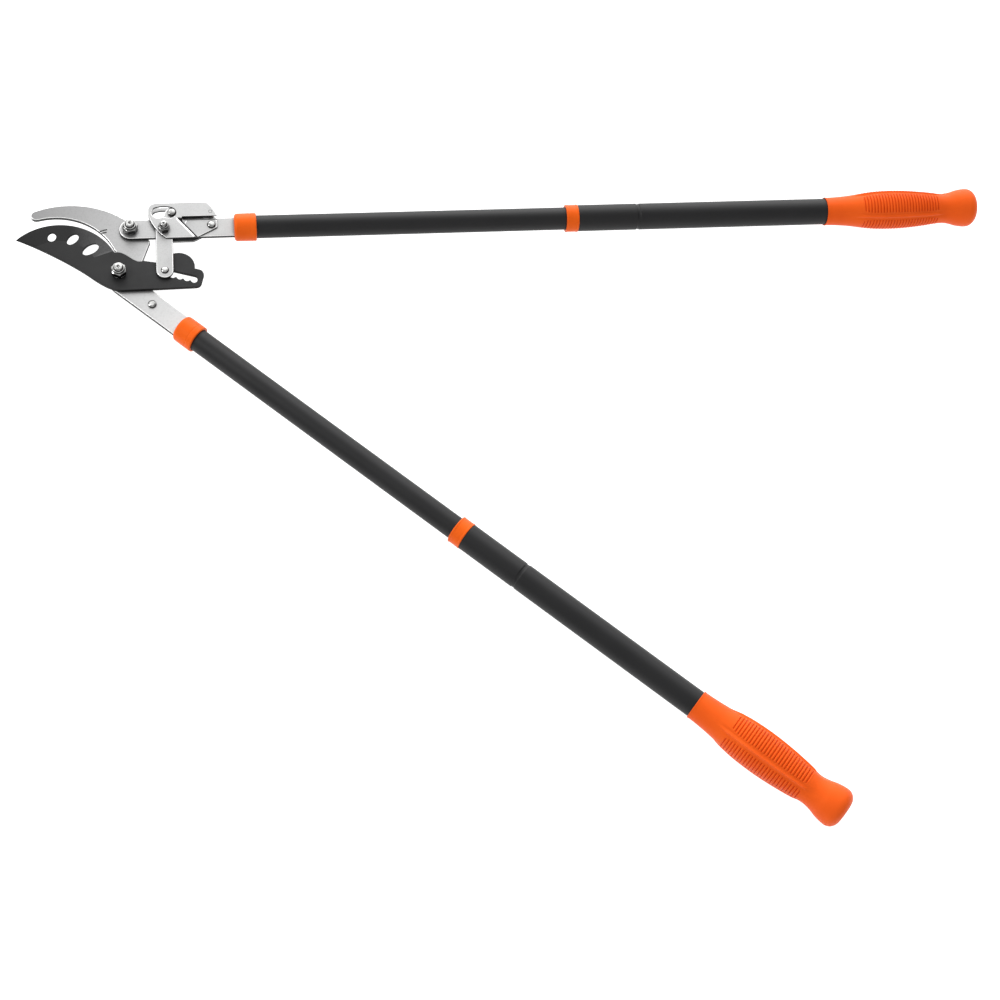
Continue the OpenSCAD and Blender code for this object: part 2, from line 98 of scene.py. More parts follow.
def fillet(points, r=0.0, n=5, closed=True):
    """Rounds the corners of a polyline. A point may carry its own radius as a third value."""
    out, m = [], len(points)
    for i, p in enumerate(points):
        rad = p[2] if len(p) > 2 else r
        if rad <= 0 or (not closed and i in (0, m - 1)):
            out.append((p[0], p[1]))
            continue
        a, b = points[i - 1], points[(i + 1) % m]
        u = Vector((a[0] - p[0], a[1] - p[1]))
        v = Vector((b[0] - p[0], b[1] - p[1]))
        lu, lv = u.length, v.length
        if lu < 1e-9 or lv < 1e-9:
            continue
        u, v = u / lu, v / lv
        half = u.angle(v) / 2
        if half > 1.54:
            out.append((p[0], p[1]))
            continue
        d = min(rad / tan(half), 0.48 * lu, 0.48 * lv)
        rr = d * tan(half)
        mid = (u + v).normalized()
        c = Vector(p[:2]) + mid * (rr / sin(half))
        s, e = Vector(p[:2]) + u * d, Vector(p[:2]) + v * d
        a0 = atan2(s.y - c.y, s.x - c.x)
        da = (atan2(e.y - c.y, e.x - c.x) - a0 + pi) % (2 * pi) - pi
        for k in range(n + 1):
            out.append((c.x + rr * cos(a0 + da * k / n), c.y + rr * sin(a0 + da * k / n)))
    return out


def densify(loop, longest, closed=True):
    out, m = [], len(loop)
    for i in range(m if closed else m - 1):
        p, q = loop[i], loop[(i + 1) % m]
        k = max(1, ceil(hypot(q[0] - p[0], q[1] - p[1]) / longest))
        out += [(p[0] + (q[0] - p[0]) * j / k, p[1] + (q[1] - p[1]) * j / k) for j in range(k)]
    return out if closed else out + [loop[-1]]


def tidy(loop, least=0.05):
    out = []
    for p in loop:
        if not out or hypot(p[0] - out[-1][0], p[1] - out[-1][1]) > least:
            out.append((float(p[0]), float(p[1])))
    while hypot(out[0][0] - out[-1][0], out[0][1] - out[-1][1]) <= least:
        out.pop()
    return out


def area(loop):
    p = np.array(loop)
    q = np.roll(p, -1, 0)
    return 0.5 * float(np.sum(p[:, 0] * q[:, 1] - q[:, 0] * p[:, 1]))


def inside(points, loops, margin=0.0):
    """Which points are in the material, at least margin from every outline."""
    p = np.array(points, float).reshape(-1, 2)
    odd = np.zeros(len(p), bool)
    far = np.full(len(p), 1e9)
    for loop in loops:
        a = np.array(loop)
        b = np.roll(a, -1, 0)
        for (x0, y0), (x1, y1) in zip(a, b):
            if y0 != y1:
                hit = ((y0 > p[:, 1]) != (y1 > p[:, 1])) & (
                    p[:, 0] < (x1 - x0) * (p[:, 1] - y0) / (y1 - y0) + x0)
                odd ^= hit
            if margin > 0:
                ex, ey = x1 - x0, y1 - y0
                t = np.clip(((p[:, 0] - x0) * ex + (p[:, 1] - y0) * ey) / max(ex * ex + ey * ey, 1e-12), 0, 1)
                far = np.minimum(far, np.hypot(p[:, 0] - x0 - t * ex, p[:, 1] - y0 - t * ey))
    return odd & (far >= margin)


def smooth(t):
    t = max(0.0, min(1.0, t))
    return t * t * (3 - 2 * t)


# ---------------------------------------------------------------- mesh makers
def plate(loops, z0, z1, edge=0.4, steps=3, top=None, bottom=None, lines=(), points=(), crisp=()):
    """A plate with rounded edges. top and bottom give its faces' heights at a point; lines and points
    are added inside both faces, and crisp lines are marked as sharp creases of the top face."""
    top = top or (lambda x, y: z1)
    bottom = bottom or (lambda x, y: z0)
    loops = [tidy(l) for l in loops]
    loops = [l if (area(l) > 0) == (i == 0) else l[::-1] for i, l in enumerate(loops)]
    verts, faces, creases = [], [], set()
    last_top, last_bottom, inner = [], [], []
    for loop in loops:
        p = np.array(loop)
        n = len(p)
        d1 = p - np.roll(p, 1, 0)
        d2 = np.roll(p, -1, 0) - p
        d1 /= np.linalg.norm(d1, axis=1)[:, None]
        d2 /= np.linalg.norm(d2, axis=1)[:, None]
        n1 = np.stack([-d1[:, 1], d1[:, 0]], 1)
        n2 = np.stack([-d2[:, 1], d2[:, 0]], 1)
        m = n1 + n2
        m /= np.maximum(np.linalg.norm(m, axis=1), 1e-6)[:, None]
        m /= np.maximum(np.sum(m * n1, 1), 0.6)[:, None]
        size = [min(edge, 0.42 * (top(*(q + k * 0.3)) - bottom(*q))) for q, k in zip(p, m)]
        rings = []
        for side, order in ((0, range(steps, -1, -1)), (1, range(steps + 1))):
            for s in order:
                a = s / steps * pi / 2
                ring = []
                for q, k, r in zip(p, m, size):
                    x, y = q + k * r * (1 - cos(a))
                    z = bottom(x, y) + r - r * sin(a) if side == 0 else top(x, y) - r + r * sin(a)
                    ring.append(len(verts))
                    verts.append((x, y, z))
                rings.append(ring)
        for lo, hi in zip(rings, rings[1:]):
            for i in range(n):
                j = (i + 1) % n
                faces.append((lo[i], lo[j], hi[j], hi[i]))
        last_bottom.append(rings[0])
        last_top.append(rings[-1])
        inner.append([verts[i][:2] for i in rings[-1]])
    for side, rim in ((0, last_bottom), (1, last_top)):
        height = top if side else bottom
        flat = [i for ring in rim for i in ring]
        coords = [Vector(verts[i][:2]) for i in flat]
        edges, k = [], 0
        for ring in rim:
            edges += [(k + i, k + (i + 1) % len(ring)) for i in range(len(ring))]
            k += len(ring)
        marks = []
        if side or bottom is not None:
            for line in list(lines) + (list(crisp) if side else []):
                keep = inside(line, inner, 0.25)
                before = None
                for q, ok in zip(line, keep):
                    if ok:
                        coords.append(Vector(q))
                        if before is not None:
                            edges.append((before, len(coords) - 1))
                            if line in crisp:
                                marks.append((before, len(coords) - 1))
                        before = len(coords) - 1
                    else:
                        before = None
            if len(points):
                coords += [Vector(q) for q, ok in zip(points, inside(points, inner, 0.5)) if ok]
        vs, _, fs, origin, _, _ = delaunay_2d_cdt(coords, edges, [], 0, 1e-6, True)
        index = {}
        for i, (v, o) in enumerate(zip(vs, origin)):
            src = [j for j in o if j < len(flat)]
            if src:
                index[i] = flat[src[0]]
            else:
                index[i] = len(verts)
                verts.append((v.x, v.y, height(v.x, v.y)))
        back = {}
        for i, o in enumerate(origin):
            for j in o:
                back[j] = index[i]
        creases |= {tuple(sorted((back[a], back[b]))) for a, b in marks if a in back and b in back}
        centres = [sum((vs[i] for i in f), Vector((0, 0))) / len(f) for f in fs]
        for f, ok in zip(fs, inside(centres, inner)):
            if ok:
                g = [index[i] for i in f]
                (x0, y0), (x1, y1), (x2, y2) = (verts[i][:2] for i in g[:3])
                turn = (x1 - x0) * (y2 - y0) - (x2 - x0) * (y1 - y0)
                faces.append(tuple(g) if (turn > 0) == (side == 1) else tuple(g[::-1]))
    return verts, faces, creases


def lathe(profile, seg=96, axis="x", at=(0, 0), closed=False):
    """Turns a profile of (along, radius) points about an axis."""
    verts, faces, rings = [], [], []
    for h, r in profile:
        if r < 1e-6:
            rings.append([len(verts)])
            verts.append((h, 0, 0) if axis == "x" else (at[0], at[1], h))
            continue
        ring = []
        for k in range(seg):
            a = 2 * pi * k / seg
            ring.append(len(verts))
            c, s = r * cos(a), r * sin(a)
            verts.append((h, c, s) if axis == "x" else (at[0] + c, at[1] + s, h))
        rings.append(ring)
    pairs = list(zip(rings, rings[1:])) + ([(rings[-1], rings[0])] if closed else [])
    for lo, hi in pairs:
        for k in range(seg):
            j = (k + 1) % seg
            if len(lo) == 1:
                faces.append((lo[0], hi[j], hi[k]))
            elif len(hi) == 1:
                faces.append((lo[k], lo[j], hi[0]))
            else:
                faces.append((lo[k], lo[j], hi[j], hi[k]))
    return verts, faces, set()


def hex_rings(at, af, z0, z1, turn=0.0, seg=72):
    """Rings of a hexagon with both ends chamfered: foot circle, flats' lower and upper edges, head circle."""
    rc = 0.472 * af
    rings = []
    for kind in range(4):
        ring = []
        for k in range(seg):
            a = 2 * pi * k / seg
            rh = af / 2 / cos((a % (pi / 3)) - pi / 6)
            drop = (rh - rc) * 0.55
            r, z = ((rc, z0), (rh, z0 + drop), (rh, z1 - drop), (rc, z1))[kind]
            ring.append((at[0] + r * cos(a + turn), at[1] + r * sin(a + turn), z))
        rings.append(ring)
    return rings


def circle_ring(at, r, z, seg=72, turn=0.0):
    return [(at[0] + r * cos(2 * pi * k / seg + turn), at[1] + r * sin(2 * pi * k / seg + turn), z)
            for k in range(seg)]


def from_rings(rings, start_pole=None, end_pole=None, closed=False):
    verts, faces, idx = [], [], []
    for ring in rings:
        idx.append(list(range(len(verts), len(verts) + len(ring))))
        verts += ring
    n = len(rings[0])
    for lo, hi in list(zip(idx, idx[1:])) + ([(idx[-1], idx[0])] if closed else []):
        for k in range(n):
            j = (k + 1) % n
            faces.append((lo[k], lo[j], hi[j], hi[k]))
    for pole, ring, flip in ((start_pole, idx[0], True), (end_pole, idx[-1], False)):
        if pole is not None:
            verts.append(pole)
            for k in range(n):
                f = (ring[k], ring[(k + 1) % n], len(verts) - 1)
                faces.append(f[::-1] if flip else f)
    return verts, faces, set()


def thread_rings(at, r, pitch, z0, z1, seg=72, turn=0.0, depth=0.45):
    rings, n = [], max(2, int((z1 - z0) / pitch * 9))
    for i in range(n + 1):
        z = z0 + (z1 - z0) * i / n
        fade = min(1.0, (z - z0) / pitch, (z1 - z) / (0.4 * pitch))
        ring = []
        for k in range(seg):
            a = 2 * pi * k / seg
            w = (z / pitch - k / seg) % 1.0
            q = r - depth * max(0.0, fade) * abs(2 * w - 1)
            ring.append((at[0] + q * cos(a + turn), at[1] + q * sin(a + turn), z))
        rings.append(ring)
    return rings


def bolt(at, r, af, head_z, head_h, top, thread_from, pitch, turn=0.0):
    rings = hex_rings(at, af, head_z - head_h, head_z, turn)
    t = lambda q, z: circle_ring(at, q, z, turn=turn)
    rings = [t(r * 0.5, head_z - head_h)] + rings + [t(r + 0.02, head_z), t(r, head_z + 0.3)]
    rings += thread_rings(at, r, pitch, thread_from, top - 0.5, turn=turn)
    rings += [t(r - 0.12, top - 0.3), t(r - 0.4, top - 0.08), t(r - 0.65, top)]
    rings += [t(r * 0.42, top), t(r * 0.36, top - 0.12), t(r * 0.3, top - 0.8), t(r * 0.12, top - 1.2)]
    return from_rings(rings, (at[0], at[1], head_z - head_h), (at[0], at[1], top - 1.3))


def lock_nut(at, r, af, z, h, turn=0.0):
    t = lambda q, y: circle_ring(at, q, y, turn=turn)
    body = z + 0.7 * h
    ring_r = 0.455 * af
    rings = [t(r + 0.35, z), *hex_rings(at, af, z, body, turn)]
    rings += [t(ring_r + 0.12, body + 0.02), t(ring_r, body + 0.2), t(ring_r, z + h - 0.75)]
    for a in (18, 36, 54, 72, 90):
        rings.append(t(ring_r - 0.75 * (1 - cos(radians(a))), z + h - 0.75 + 0.75 * sin(radians(a))))
    rings += [t(r + 0.75, z + h), t(r + 0.3, z + h - 0.25), t(r + 0.02, z + h - 0.5), t(r + 0.02, z + 0.4)]
    return from_rings(rings, closed=True)


def washer(at, bore, r, z, h):
    p = fillet([(z, bore), (z + h, bore), (z + h, r), (z, r)], 0.28, 3)
    return lathe([q for q in reversed(p)], 96, "z", at, closed=True)


def rivet(at, shank_r, head_r, head_z, head_h, foot_z, foot_r=None, foot_h=1.2):
    """A domed head, a shank, and a flatter formed head at the foot."""
    foot_r = foot_r or head_r
    prof = [(foot_z, 0), (foot_z, foot_r * 0.55)]
    prof += [(foot_z + foot_h * (1 - cos(radians(a))) * 0.7, foot_r * (0.55 + 0.45 * sin(radians(a))))
             for a in (25, 50, 75, 90)]
    prof += [(foot_z + foot_h, foot_r), (foot_z + foot_h, shank_r), (head_z, shank_r)]
    prof += [(head_z, head_r - 0.15), (head_z + 0.12, head_r)]
    for a in range(8, 91, 8):
        prof.append((head_z + 0.12 + (head_h - 0.12) * sin(radians(a)), head_r * cos(radians(a)) ** 0.85))
    prof.append((head_z + head_h, 0))
    return lathe(prof, 72, "z", at)


def sweep(path, r, seg=10):
    """A round wire along a path of points."""
    pts = [Vector(p) for p in path]
    rings, up = [], Vector((0, 0, 1))
    for i, p in enumerate(pts):
        t = (pts[min(i + 1, len(pts) - 1)] - pts[max(i - 1, 0)]).normalized()
        up = (up - t * up.dot(t))
        up = up.normalized() if up.length > 1e-4 else t.orthogonal().normalized()
        side = t.cross(up)
        rings.append([tuple(p + (up * cos(2 * pi * k / seg) + side * sin(2 * pi * k / seg)) * r)
                      for k in range(seg)])
    return from_rings(rings, tuple(pts[0]), tuple(pts[-1]))


# ---------------------------------------------------------------- materials
def noise(nt, scale, coords, detail):
    n = nt.nodes.new("ShaderNodeTexNoise")
    nt.links.new(coords, n.inputs["Vector"])
    n.inputs["Scale"].default_value = scale
    n.inputs["Detail"].default_value = detail
    return n.outputs["Fac"]


def ramp(nt, source, lo, hi, a=0.35, b=0.65):
    n = nt.nodes.new("ShaderNodeMapRange")
    nt.links.new(source, n.inputs["Value"])
    for k, v in zip(("From Min", "From Max", "To Min", "To Max"), (a, b, lo, hi)):
        n.inputs[k].default_value = v
    return n.outputs["Result"]


def blend(nt, factor, a, b):
    n = nt.nodes.new("ShaderNodeMix")
    n.data_type = "RGBA"
    nt.links.new(factor, n.inputs["Factor"])
    for sock, v in ((n.inputs["A"], a), (n.inputs["B"], b)):
        if isinstance(v, tuple):
            sock.default_value = (*v, 1)
        else:
            nt.links.new(v, sock)
    return n.outputs["Result"]


def math_node(nt, kind, a, b):
    n = nt.nodes.new("ShaderNodeMath")
    n.operation = kind
    for k, v in enumerate((a, b)):
        if isinstance(v, (int, float)):
            n.inputs[k].default_value = v
        else:
            nt.links.new(v, n.inputs[k])
    return n.outputs[0]


MOTTLE_SCALE = 700


def material(name, colour, other, rough=(0.3, 0.4), metal=0.0, patch=40, grain=1500, bump=0.02,
             stretch=None, wear_and_highlight=None, specular=0.5, mottle=0.0, drift=None, painted_shade=None, tint=None):
    """colour drifts to other in patches, and to drift's colour along a line, a painted shade that darkens a
    part towards one end; grain is the fine texture, mottle adds a speckle of middle size, wear_and_highlight
    lightens the edges with specks of wear and a painted highlight, painted_shade darkens the corners as
    painted shade, tint colours the highlights."""
    m = bpy.data.materials.new(name)
    m.use_nodes = True
    nt = m.node_tree
    out = nt.nodes["Principled BSDF"]
    tc = nt.nodes.new("ShaderNodeTexCoord").outputs["Object"]
    fine = tc
    if stretch:
        mp = nt.nodes.new("ShaderNodeMapping")
        nt.links.new(tc, mp.inputs["Vector"])
        mp.inputs["Rotation"].default_value = (0, 0, stretch[0])
        mp.inputs["Scale"].default_value = stretch[1]
        fine = mp.outputs["Vector"]
    big = noise(nt, patch, tc, 4.0)
    small = noise(nt, grain, fine, 2.0)
    col = blend(nt, ramp(nt, big, 0, 1, 0.3, 0.7), colour, other)
    # painted shade: the colour darkens along a line towards drift's colour, as the light falls off across the
    # part
    if drift:
        across = nt.nodes.new("ShaderNodeVectorMath")
        across.operation = "DOT_PRODUCT"
        nt.links.new(tc, across.inputs[0])
        across.inputs[1].default_value = (1, drift[3], 0)
        col = blend(nt, ramp(nt, across.outputs["Value"], 0, 1, drift[1], drift[0]), col, drift[2])
    if mottle:
        speck = noise(nt, MOTTLE_SCALE, tc, 2.0)
        dark = blend(nt, ramp(nt, speck, 1 - mottle, 1 + mottle, 0.35, 0.65), (0, 0, 0), (1, 1, 1))
        mul = nt.nodes.new("ShaderNodeMix")
        mul.data_type, mul.blend_type = "RGBA", "MULTIPLY"
        mul.inputs["Factor"].default_value = 1.0
        nt.links.new(col, mul.inputs["A"])
        nt.links.new(dark, mul.inputs["B"])
        col = mul.outputs["Result"]
    # edges found by the bevel normal are lightened: a painted highlight along them, broken into specks of
    # wear
    if wear_and_highlight:
        bev = nt.nodes.new("ShaderNodeBevel")
        bev.samples = 4
        bev.inputs["Radius"].default_value = wear_and_highlight[1]
        geo = nt.nodes.new("ShaderNodeNewGeometry")
        dot = nt.nodes.new("ShaderNodeVectorMath")
        dot.operation = "DOT_PRODUCT"
        nt.links.new(bev.outputs["Normal"], dot.inputs[0])
        nt.links.new(geo.outputs["Normal"], dot.inputs[1])
        edge = ramp(nt, dot.outputs["Value"], 1, 0, 0.75, 0.99)
        speck = ramp(nt, small, 0.2, 1, 0.4, 0.6)
        col = blend(nt, math_node(nt, "MULTIPLY", edge, speck), col, wear_and_highlight[0])
    # painted shade: ambient occlusion darkens corners, crevices and contact edges towards the given colour
    if painted_shade:
        ao = nt.nodes.new("ShaderNodeAmbientOcclusion")
        ao.samples = 8
        ao.inputs["Distance"].default_value = painted_shade[1]
        col = blend(nt, ramp(nt, ao.outputs["AO"], painted_shade[2] if len(painted_shade) > 2 else 0.85, 0, 0.25, 0.8),
                    col, painted_shade[0])
    if tint:
        out.inputs["Specular Tint"].default_value = (*tint, 1)
    nt.links.new(col, out.inputs["Base Color"])
    nt.links.new(ramp(nt, small, rough[0], rough[1], 0.3, 0.7), out.inputs["Roughness"])
    bm = nt.nodes.new("ShaderNodeBump")
    bm.inputs["Strength"].default_value = 1.0
    bm.inputs["Distance"].default_value = bump * 0.001
    nt.links.new(small, bm.inputs["Height"])
    nt.links.new(bm.outputs["Normal"], out.inputs["Normal"])
    out.inputs["Metallic"].default_value = metal
    out.inputs["Specular IOR Level"].default_value = specular
    return m


# the colour of the painted shade in corners and crevices
SHADE_COLOUR = (0.012, 0.012, 0.012)
MATS = {
    # satin_steel: drift darkens it towards the hook's tip as painted shade; painted_shade darkens its corners
    "satin_steel": material("satin_steel", (0.44, 0.44, 0.438), (0.40, 0.40, 0.40), (0.32, 0.44), 0.6,
                            patch=28, grain=2200, bump=0.012, mottle=0.08, painted_shade=(SHADE_COLOUR, 0.006),
                            drift=(-0.14, 0.11, (0.155, 0.155, 0.155), -0.8)),
    # plate_steel: painted_shade darkens its corners and the gaps between the plates
    "plate_steel": material("plate_steel", (0.33, 0.33, 0.328), (0.29, 0.29, 0.29), (0.28, 0.40), 0.6,
                            patch=35, grain=2600, bump=0.01, mottle=0.07, painted_shade=(SHADE_COLOUR, 0.007)),
    # sheared_and_shaded_steel: dark steel for the walls, partly the sheared edges' own colour and partly
    # painted shade; also the painted shade in the stamped lines, beside the bend and on the slot's far wall
    "sheared_and_shaded_steel": material("sheared_and_shaded_steel", (0.045, 0.045, 0.045), (0.02, 0.02, 0.02), (0.4, 0.6), 0.7,
                              patch=260, grain=1800, bump=0.03, stretch=(0, (1, 1, 0.2))),
    # highlight_rim_steel: a brighter copy of the steel for rounded rims and the bend, a painted highlight;
    # painted_shade darkens its corners
    "highlight_rim_steel": material("highlight_rim_steel", (0.8, 0.8, 0.795), (0.66, 0.66, 0.66), (0.25, 0.36), 0.6,
                          patch=120, grain=2600, bump=0.01, painted_shade=(SHADE_COLOUR, 0.002)),
    # black_steel: drift darkens it towards the blade's tip as painted shade; edges get wear and a painted
    # highlight; painted_shade darkens its corners
    "black_steel": material("black_steel", (0.0185, 0.0185, 0.019), (0.010, 0.010, 0.0105), (0.44, 0.58), 0.0,
                            patch=45, grain=2600, bump=0.02, mottle=0.12, wear_and_highlight=((0.09, 0.09, 0.09), 0.0004),
                            specular=0.2, drift=(-0.08, 0.03, (0.004, 0.004, 0.004), 0),
                            painted_shade=((0.002, 0.002, 0.002), 0.004)),
    # ground_steel: drift darkens the bevel towards the tip and leaves the heel lighter: painted shade and
    # painted highlight
    "ground_steel": material("ground_steel", (0.085, 0.085, 0.086), (0.06, 0.06, 0.061), (0.42, 0.58), 0.0,
                             patch=60, grain=900, bump=0.04, stretch=(0.55, (8, 1, 1)), specular=0.1,
                             mottle=0.25, drift=(-0.045, -0.004, (0.003, 0.003, 0.003), 0)),
    # shaded_black_wall: a darker copy of the blade's black for its side walls, a painted shade
    "shaded_black_wall": material("shaded_black_wall", (0.006, 0.006, 0.006), (0.004, 0.004, 0.004), (0.5, 0.6), 0.0,
                           patch=260, grain=1800, bump=0.03, specular=0.15),
    # zinc_hardware: edges lightened nearly to white as a painted highlight; painted_shade darkens its corners
    "zinc_hardware": material("zinc_hardware", (0.46, 0.46, 0.455), (0.16, 0.16, 0.155), (0.10, 0.20), 1.0,
                              patch=260, grain=3000, bump=0.008, wear_and_highlight=((0.95, 0.95, 0.95), 0.0003),
                              painted_shade=(SHADE_COLOUR, 0.003)),
    # shaded_zinc_side: a darker copy of the zinc for the steep sides of nuts, washers and domes, a painted
    # shade; painted_shade darkens its corners
    "shaded_zinc_side": material("shaded_zinc_side", (0.06, 0.06, 0.06), (0.015, 0.015, 0.015), (0.12, 0.24), 1.0,
                          patch=420, grain=3000, bump=0.008, painted_shade=(SHADE_COLOUR, 0.003)),
    "spring_steel": material("spring_steel", (0.33, 0.33, 0.34), (0.24, 0.24, 0.25), (0.25, 0.4), 1.0,
                             patch=400, grain=3000, bump=0.01),
    # orange_plastic: painted_shade darkens its corners to a deep red
    "orange_plastic": material("orange_plastic", (0.70, 0.103, 0.009), (0.63, 0.084, 0.007), (0.34, 0.46),
                               patch=30, grain=1800, bump=0.02, specular=0.2, tint=(1, 0.5, 0.2),
                               painted_shade=((0.25, 0.02, 0.001), 0.003, 0.6)),
    # orange_grip: painted_shade darkens its corners and crevices to a deep red
    "orange_grip": material("orange_grip", (0.72, 0.096, 0.011), (0.64, 0.075, 0.008), (0.40, 0.52), 0.0,
                            patch=22, grain=1600, bump=0.035, specular=0.16, tint=(1, 0.5, 0.2),
                            painted_shade=((0.3, 0.018, 0.001), 0.003, 0.75)),
    # shaded_orange_groove: a darker copy of the grip's orange for the rib grooves, a painted shade
    "shaded_orange_groove": material("shaded_orange_groove", (0.57, 0.048, 0.004), (0.49, 0.038, 0.003), (0.5, 0.6), 0.0,
                              patch=22, grain=1600, bump=0.03, specular=0.05, tint=(1, 0.5, 0.2)),
    "black_plastic": material("black_plastic", (0.03, 0.03, 0.03), (0.024, 0.024, 0.024), (0.45, 0.6), 0.0,
                              patch=60, grain=1500, bump=0.03),
    # black_tube: painted_shade darkens its corners, as at the grip's mouth
    "black_tube": material("black_tube", (0.009, 0.009, 0.0095), (0.006, 0.006, 0.0065), (0.44, 0.54), 0.0,
                           patch=18, grain=1400, bump=0.03, specular=0.25,
                           painted_shade=((0.001, 0.001, 0.001), 0.006)),
}


def by_slope(wall, rim=0.0):
    """Material index by how steep a face is: 1 for walls, 2 for the rounded rims above them; the pieces'
    walls take a darker copy of their material (painted shade) and their rims a brighter one (painted
    highlight).
    """
    return lambda c, n: 1 if n.z < wall else (2 if n.z < rim else 0)


# walls take the dark wall copy (painted shade), rounded rims the bright rim copy (painted highlight)
rounded = by_slope(0.6, 0.985)
# face material, darker copy for walls (painted shade), brighter copy for rounded rims (painted highlight)
STEEL = ("satin_steel", "sheared_and_shaded_steel", "highlight_rim_steel")
PLATE = ("plate_steel", "sheared_and_shaded_steel", "highlight_rim_steel")
ZINC = ("zinc_hardware", "shaded_zinc_side")


# ---------------------------------------------------------------- placing pieces
PLACES = {
    "head": Matrix.Identity(4),
    "upper": Matrix.Translation((UPPER_END[0], UPPER_END[1], UPPER_Z)),
    "lower": Matrix.Rotation(-SPREAD, 4, "Z") @ Matrix.Translation((LOWER_END[0], LOWER_END[1], LOWER_Z)),
}


def piece(name, shape, mat, body, nodes=(), place="head", sharp=38, bevel=0.0, faces_mat=None):
    verts, faces, creases = shape
    me = bpy.data.meshes.new(name)
    me.from_pydata([tuple(v) for v in verts], [], [tuple(f) for f in faces])
    me.transform(Matrix.Scale(0.001, 4) @ PLACES[place])
    bm = bmesh.new()
    bm.from_mesh(me)
    if creases:
        bm.verts.ensure_lookup_table()
        for a, b in creases:
            e = bm.edges.get((bm.verts[a], bm.verts[b]))
            if e:
                e.smooth = False
    bmesh.ops.recalc_face_normals(bm, faces=bm.faces)
    for f in bm.faces:
        f.smooth = True
    for e in bm.edges:
        if len(e.link_faces) == 2 and e.calc_face_angle(0) > radians(sharp):
            e.smooth = False
    bm.to_mesh(me)
    bm.free()
    ob = bpy.data.objects.new(name, me)
    bpy.context.scene.collection.objects.link(ob)
    mats = [mat] if isinstance(mat, str) else list(mat)
    for m in mats:
        me.materials.append(MATS[m])
    if callable(faces_mat):
        for f in me.polygons:
            f.material_index = faces_mat(f.center / 0.001, f.normal)
    elif faces_mat:
        me.polygons.foreach_set("material_index", faces_mat)
    if bevel:
        mod = ob.modifiers.new("edges", "BEVEL")
        mod.width, mod.segments, mod.limit_method = bevel * 0.001, 2, "ANGLE"
        mod.angle_limit = radians(24)
        mod.harden_normals = False
    mod = ob.modifiers.new("normals", "WEIGHTED_NORMAL")
    mod.keep_sharp = True
    mod.weight = 80
    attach(ob, body)
    if nodes:
        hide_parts(*nodes)
    return ob


def cut(ob, lo, hi, place):
    """Cuts a box out of a piece."""
    x0, y0, z0 = lo
    x1, y1, z1 = hi
    vs = [(x, y, z) for x in (x0, x1) for y in (y0, y1) for z in (z0, z1)]
    fs = [(0, 1, 3, 2), (4, 6, 7, 5), (0, 4, 5, 1), (2, 3, 7, 6), (0, 2, 6, 4), (1, 5, 7, 3)]
    me = bpy.data.meshes.new("cutter")
    me.from_pydata(vs, [], fs)
    me.transform(Matrix.Scale(0.001, 4) @ PLACES[place])
    tool = bpy.data.objects.new("cutter", me)
    bpy.context.scene.collection.objects.link(tool)
    mod = ob.modifiers.new("cut", "BOOLEAN")
    mod.operation, mod.solver, mod.object = "DIFFERENCE", "EXACT", tool
    weighted = ob.modifiers.get("normals")
    if weighted:
        ob.modifiers.remove(weighted)
    dg = bpy.context.evaluated_depsgraph_get()
    dg.update()
    new = bpy.data.meshes.new_from_object(ob.evaluated_get(dg))
    ob.modifiers.clear()
    ob.data = new
    bpy.data.objects.remove(tool)
    bm = bmesh.new()
    bm.from_mesh(new)
    for f in bm.faces:
        f.smooth = True
    for e in bm.edges:
        e.smooth = not (len(e.link_faces) == 2 and e.calc_face_angle(0) > radians(38))
    bm.to_mesh(new)
    bm.free()
    mod = ob.modifiers.new("normals", "WEIGHTED_NORMAL")
    mod.keep_sharp = True


# ---------------------------------------------------------------- hook and lower tang
def hook_outline():
    co, ci = (-46.2, -8.4), (-59.6, 6)
    tip = (co[0] + 83.2 * cos(radians(111.6)), co[1] + 83.2 * sin(radians(111.6)))
    neck = LOWER_END[1]
    up, dn = neck + TANG_OFF + TANG_HALF, neck + TANG_OFF - TANG_HALF
    end = LOWER_END[0] - NECK_IN
    pts = arc(co, 88.4, 30.6, 111.6, 80) + arc(tip, 5.2, 111.6, 285.6, 28)[1:]
    pts += arc(ci, 59.8, 105.2, 21.3, 90)
    pts += curve((-3.2, 28), (-0.5, 21), (-14.5, 12), (-14.8, 0), 20)[1:]
    pts += arc((0, 0), 14.8, 184, 222, 14)
    pts += [low(8, dn), low(end, dn), low(end, neck - NECK_HALF), low(end + NECK_LEN, neck - NECK_HALF)]
    pts += [low(end + NECK_LEN, neck + NECK_HALF), low(end, neck + NECK_HALF), low(end, up), low(38, up)]
    pts += curve((26, -12.5), (18, -4), (18.5, 4), (22.5, 14.5), 16)
    pts += [(29.9, 34.6)]
    return pts


def disc(c, r, n=48):
    return arc(c, r, 0, 360 * (n - 1) / n, n - 1)


CREASES = [  # two shallow stamped lines beside the throat
    curve((-20.5, 46.6), (-17.5, 48.6), (-14.5, 50.0), (-11.0, 50.6), 10),
    curve((-19.0, 44.6), (-16.5, 46.2), (-14, 47.2), (-11.5, 47.6), 8),
]


CREASE_HALF, CREASE_DEPTH = 0.6, 0.3


def hook_faces(c, n):
    """The stamped lines' slopes take the dark wall material: painted shade in the creases."""
    if 0.6 < n.z < 0.9995 and min(hypot(c.x - q[0], c.y - q[1]) for line in CREASES for q in line) < 0.9:
        return 1
    return rounded(c, n)


def hook_top(x, y):
    z = HOOK_Z + HOOK_T
    for line in CREASES:
        d = min(hypot(x - q[0], y - q[1]) for q in line)
        if d < CREASE_HALF:
            z -= CREASE_DEPTH * (1 - (d / CREASE_HALF) ** 2)
    return z


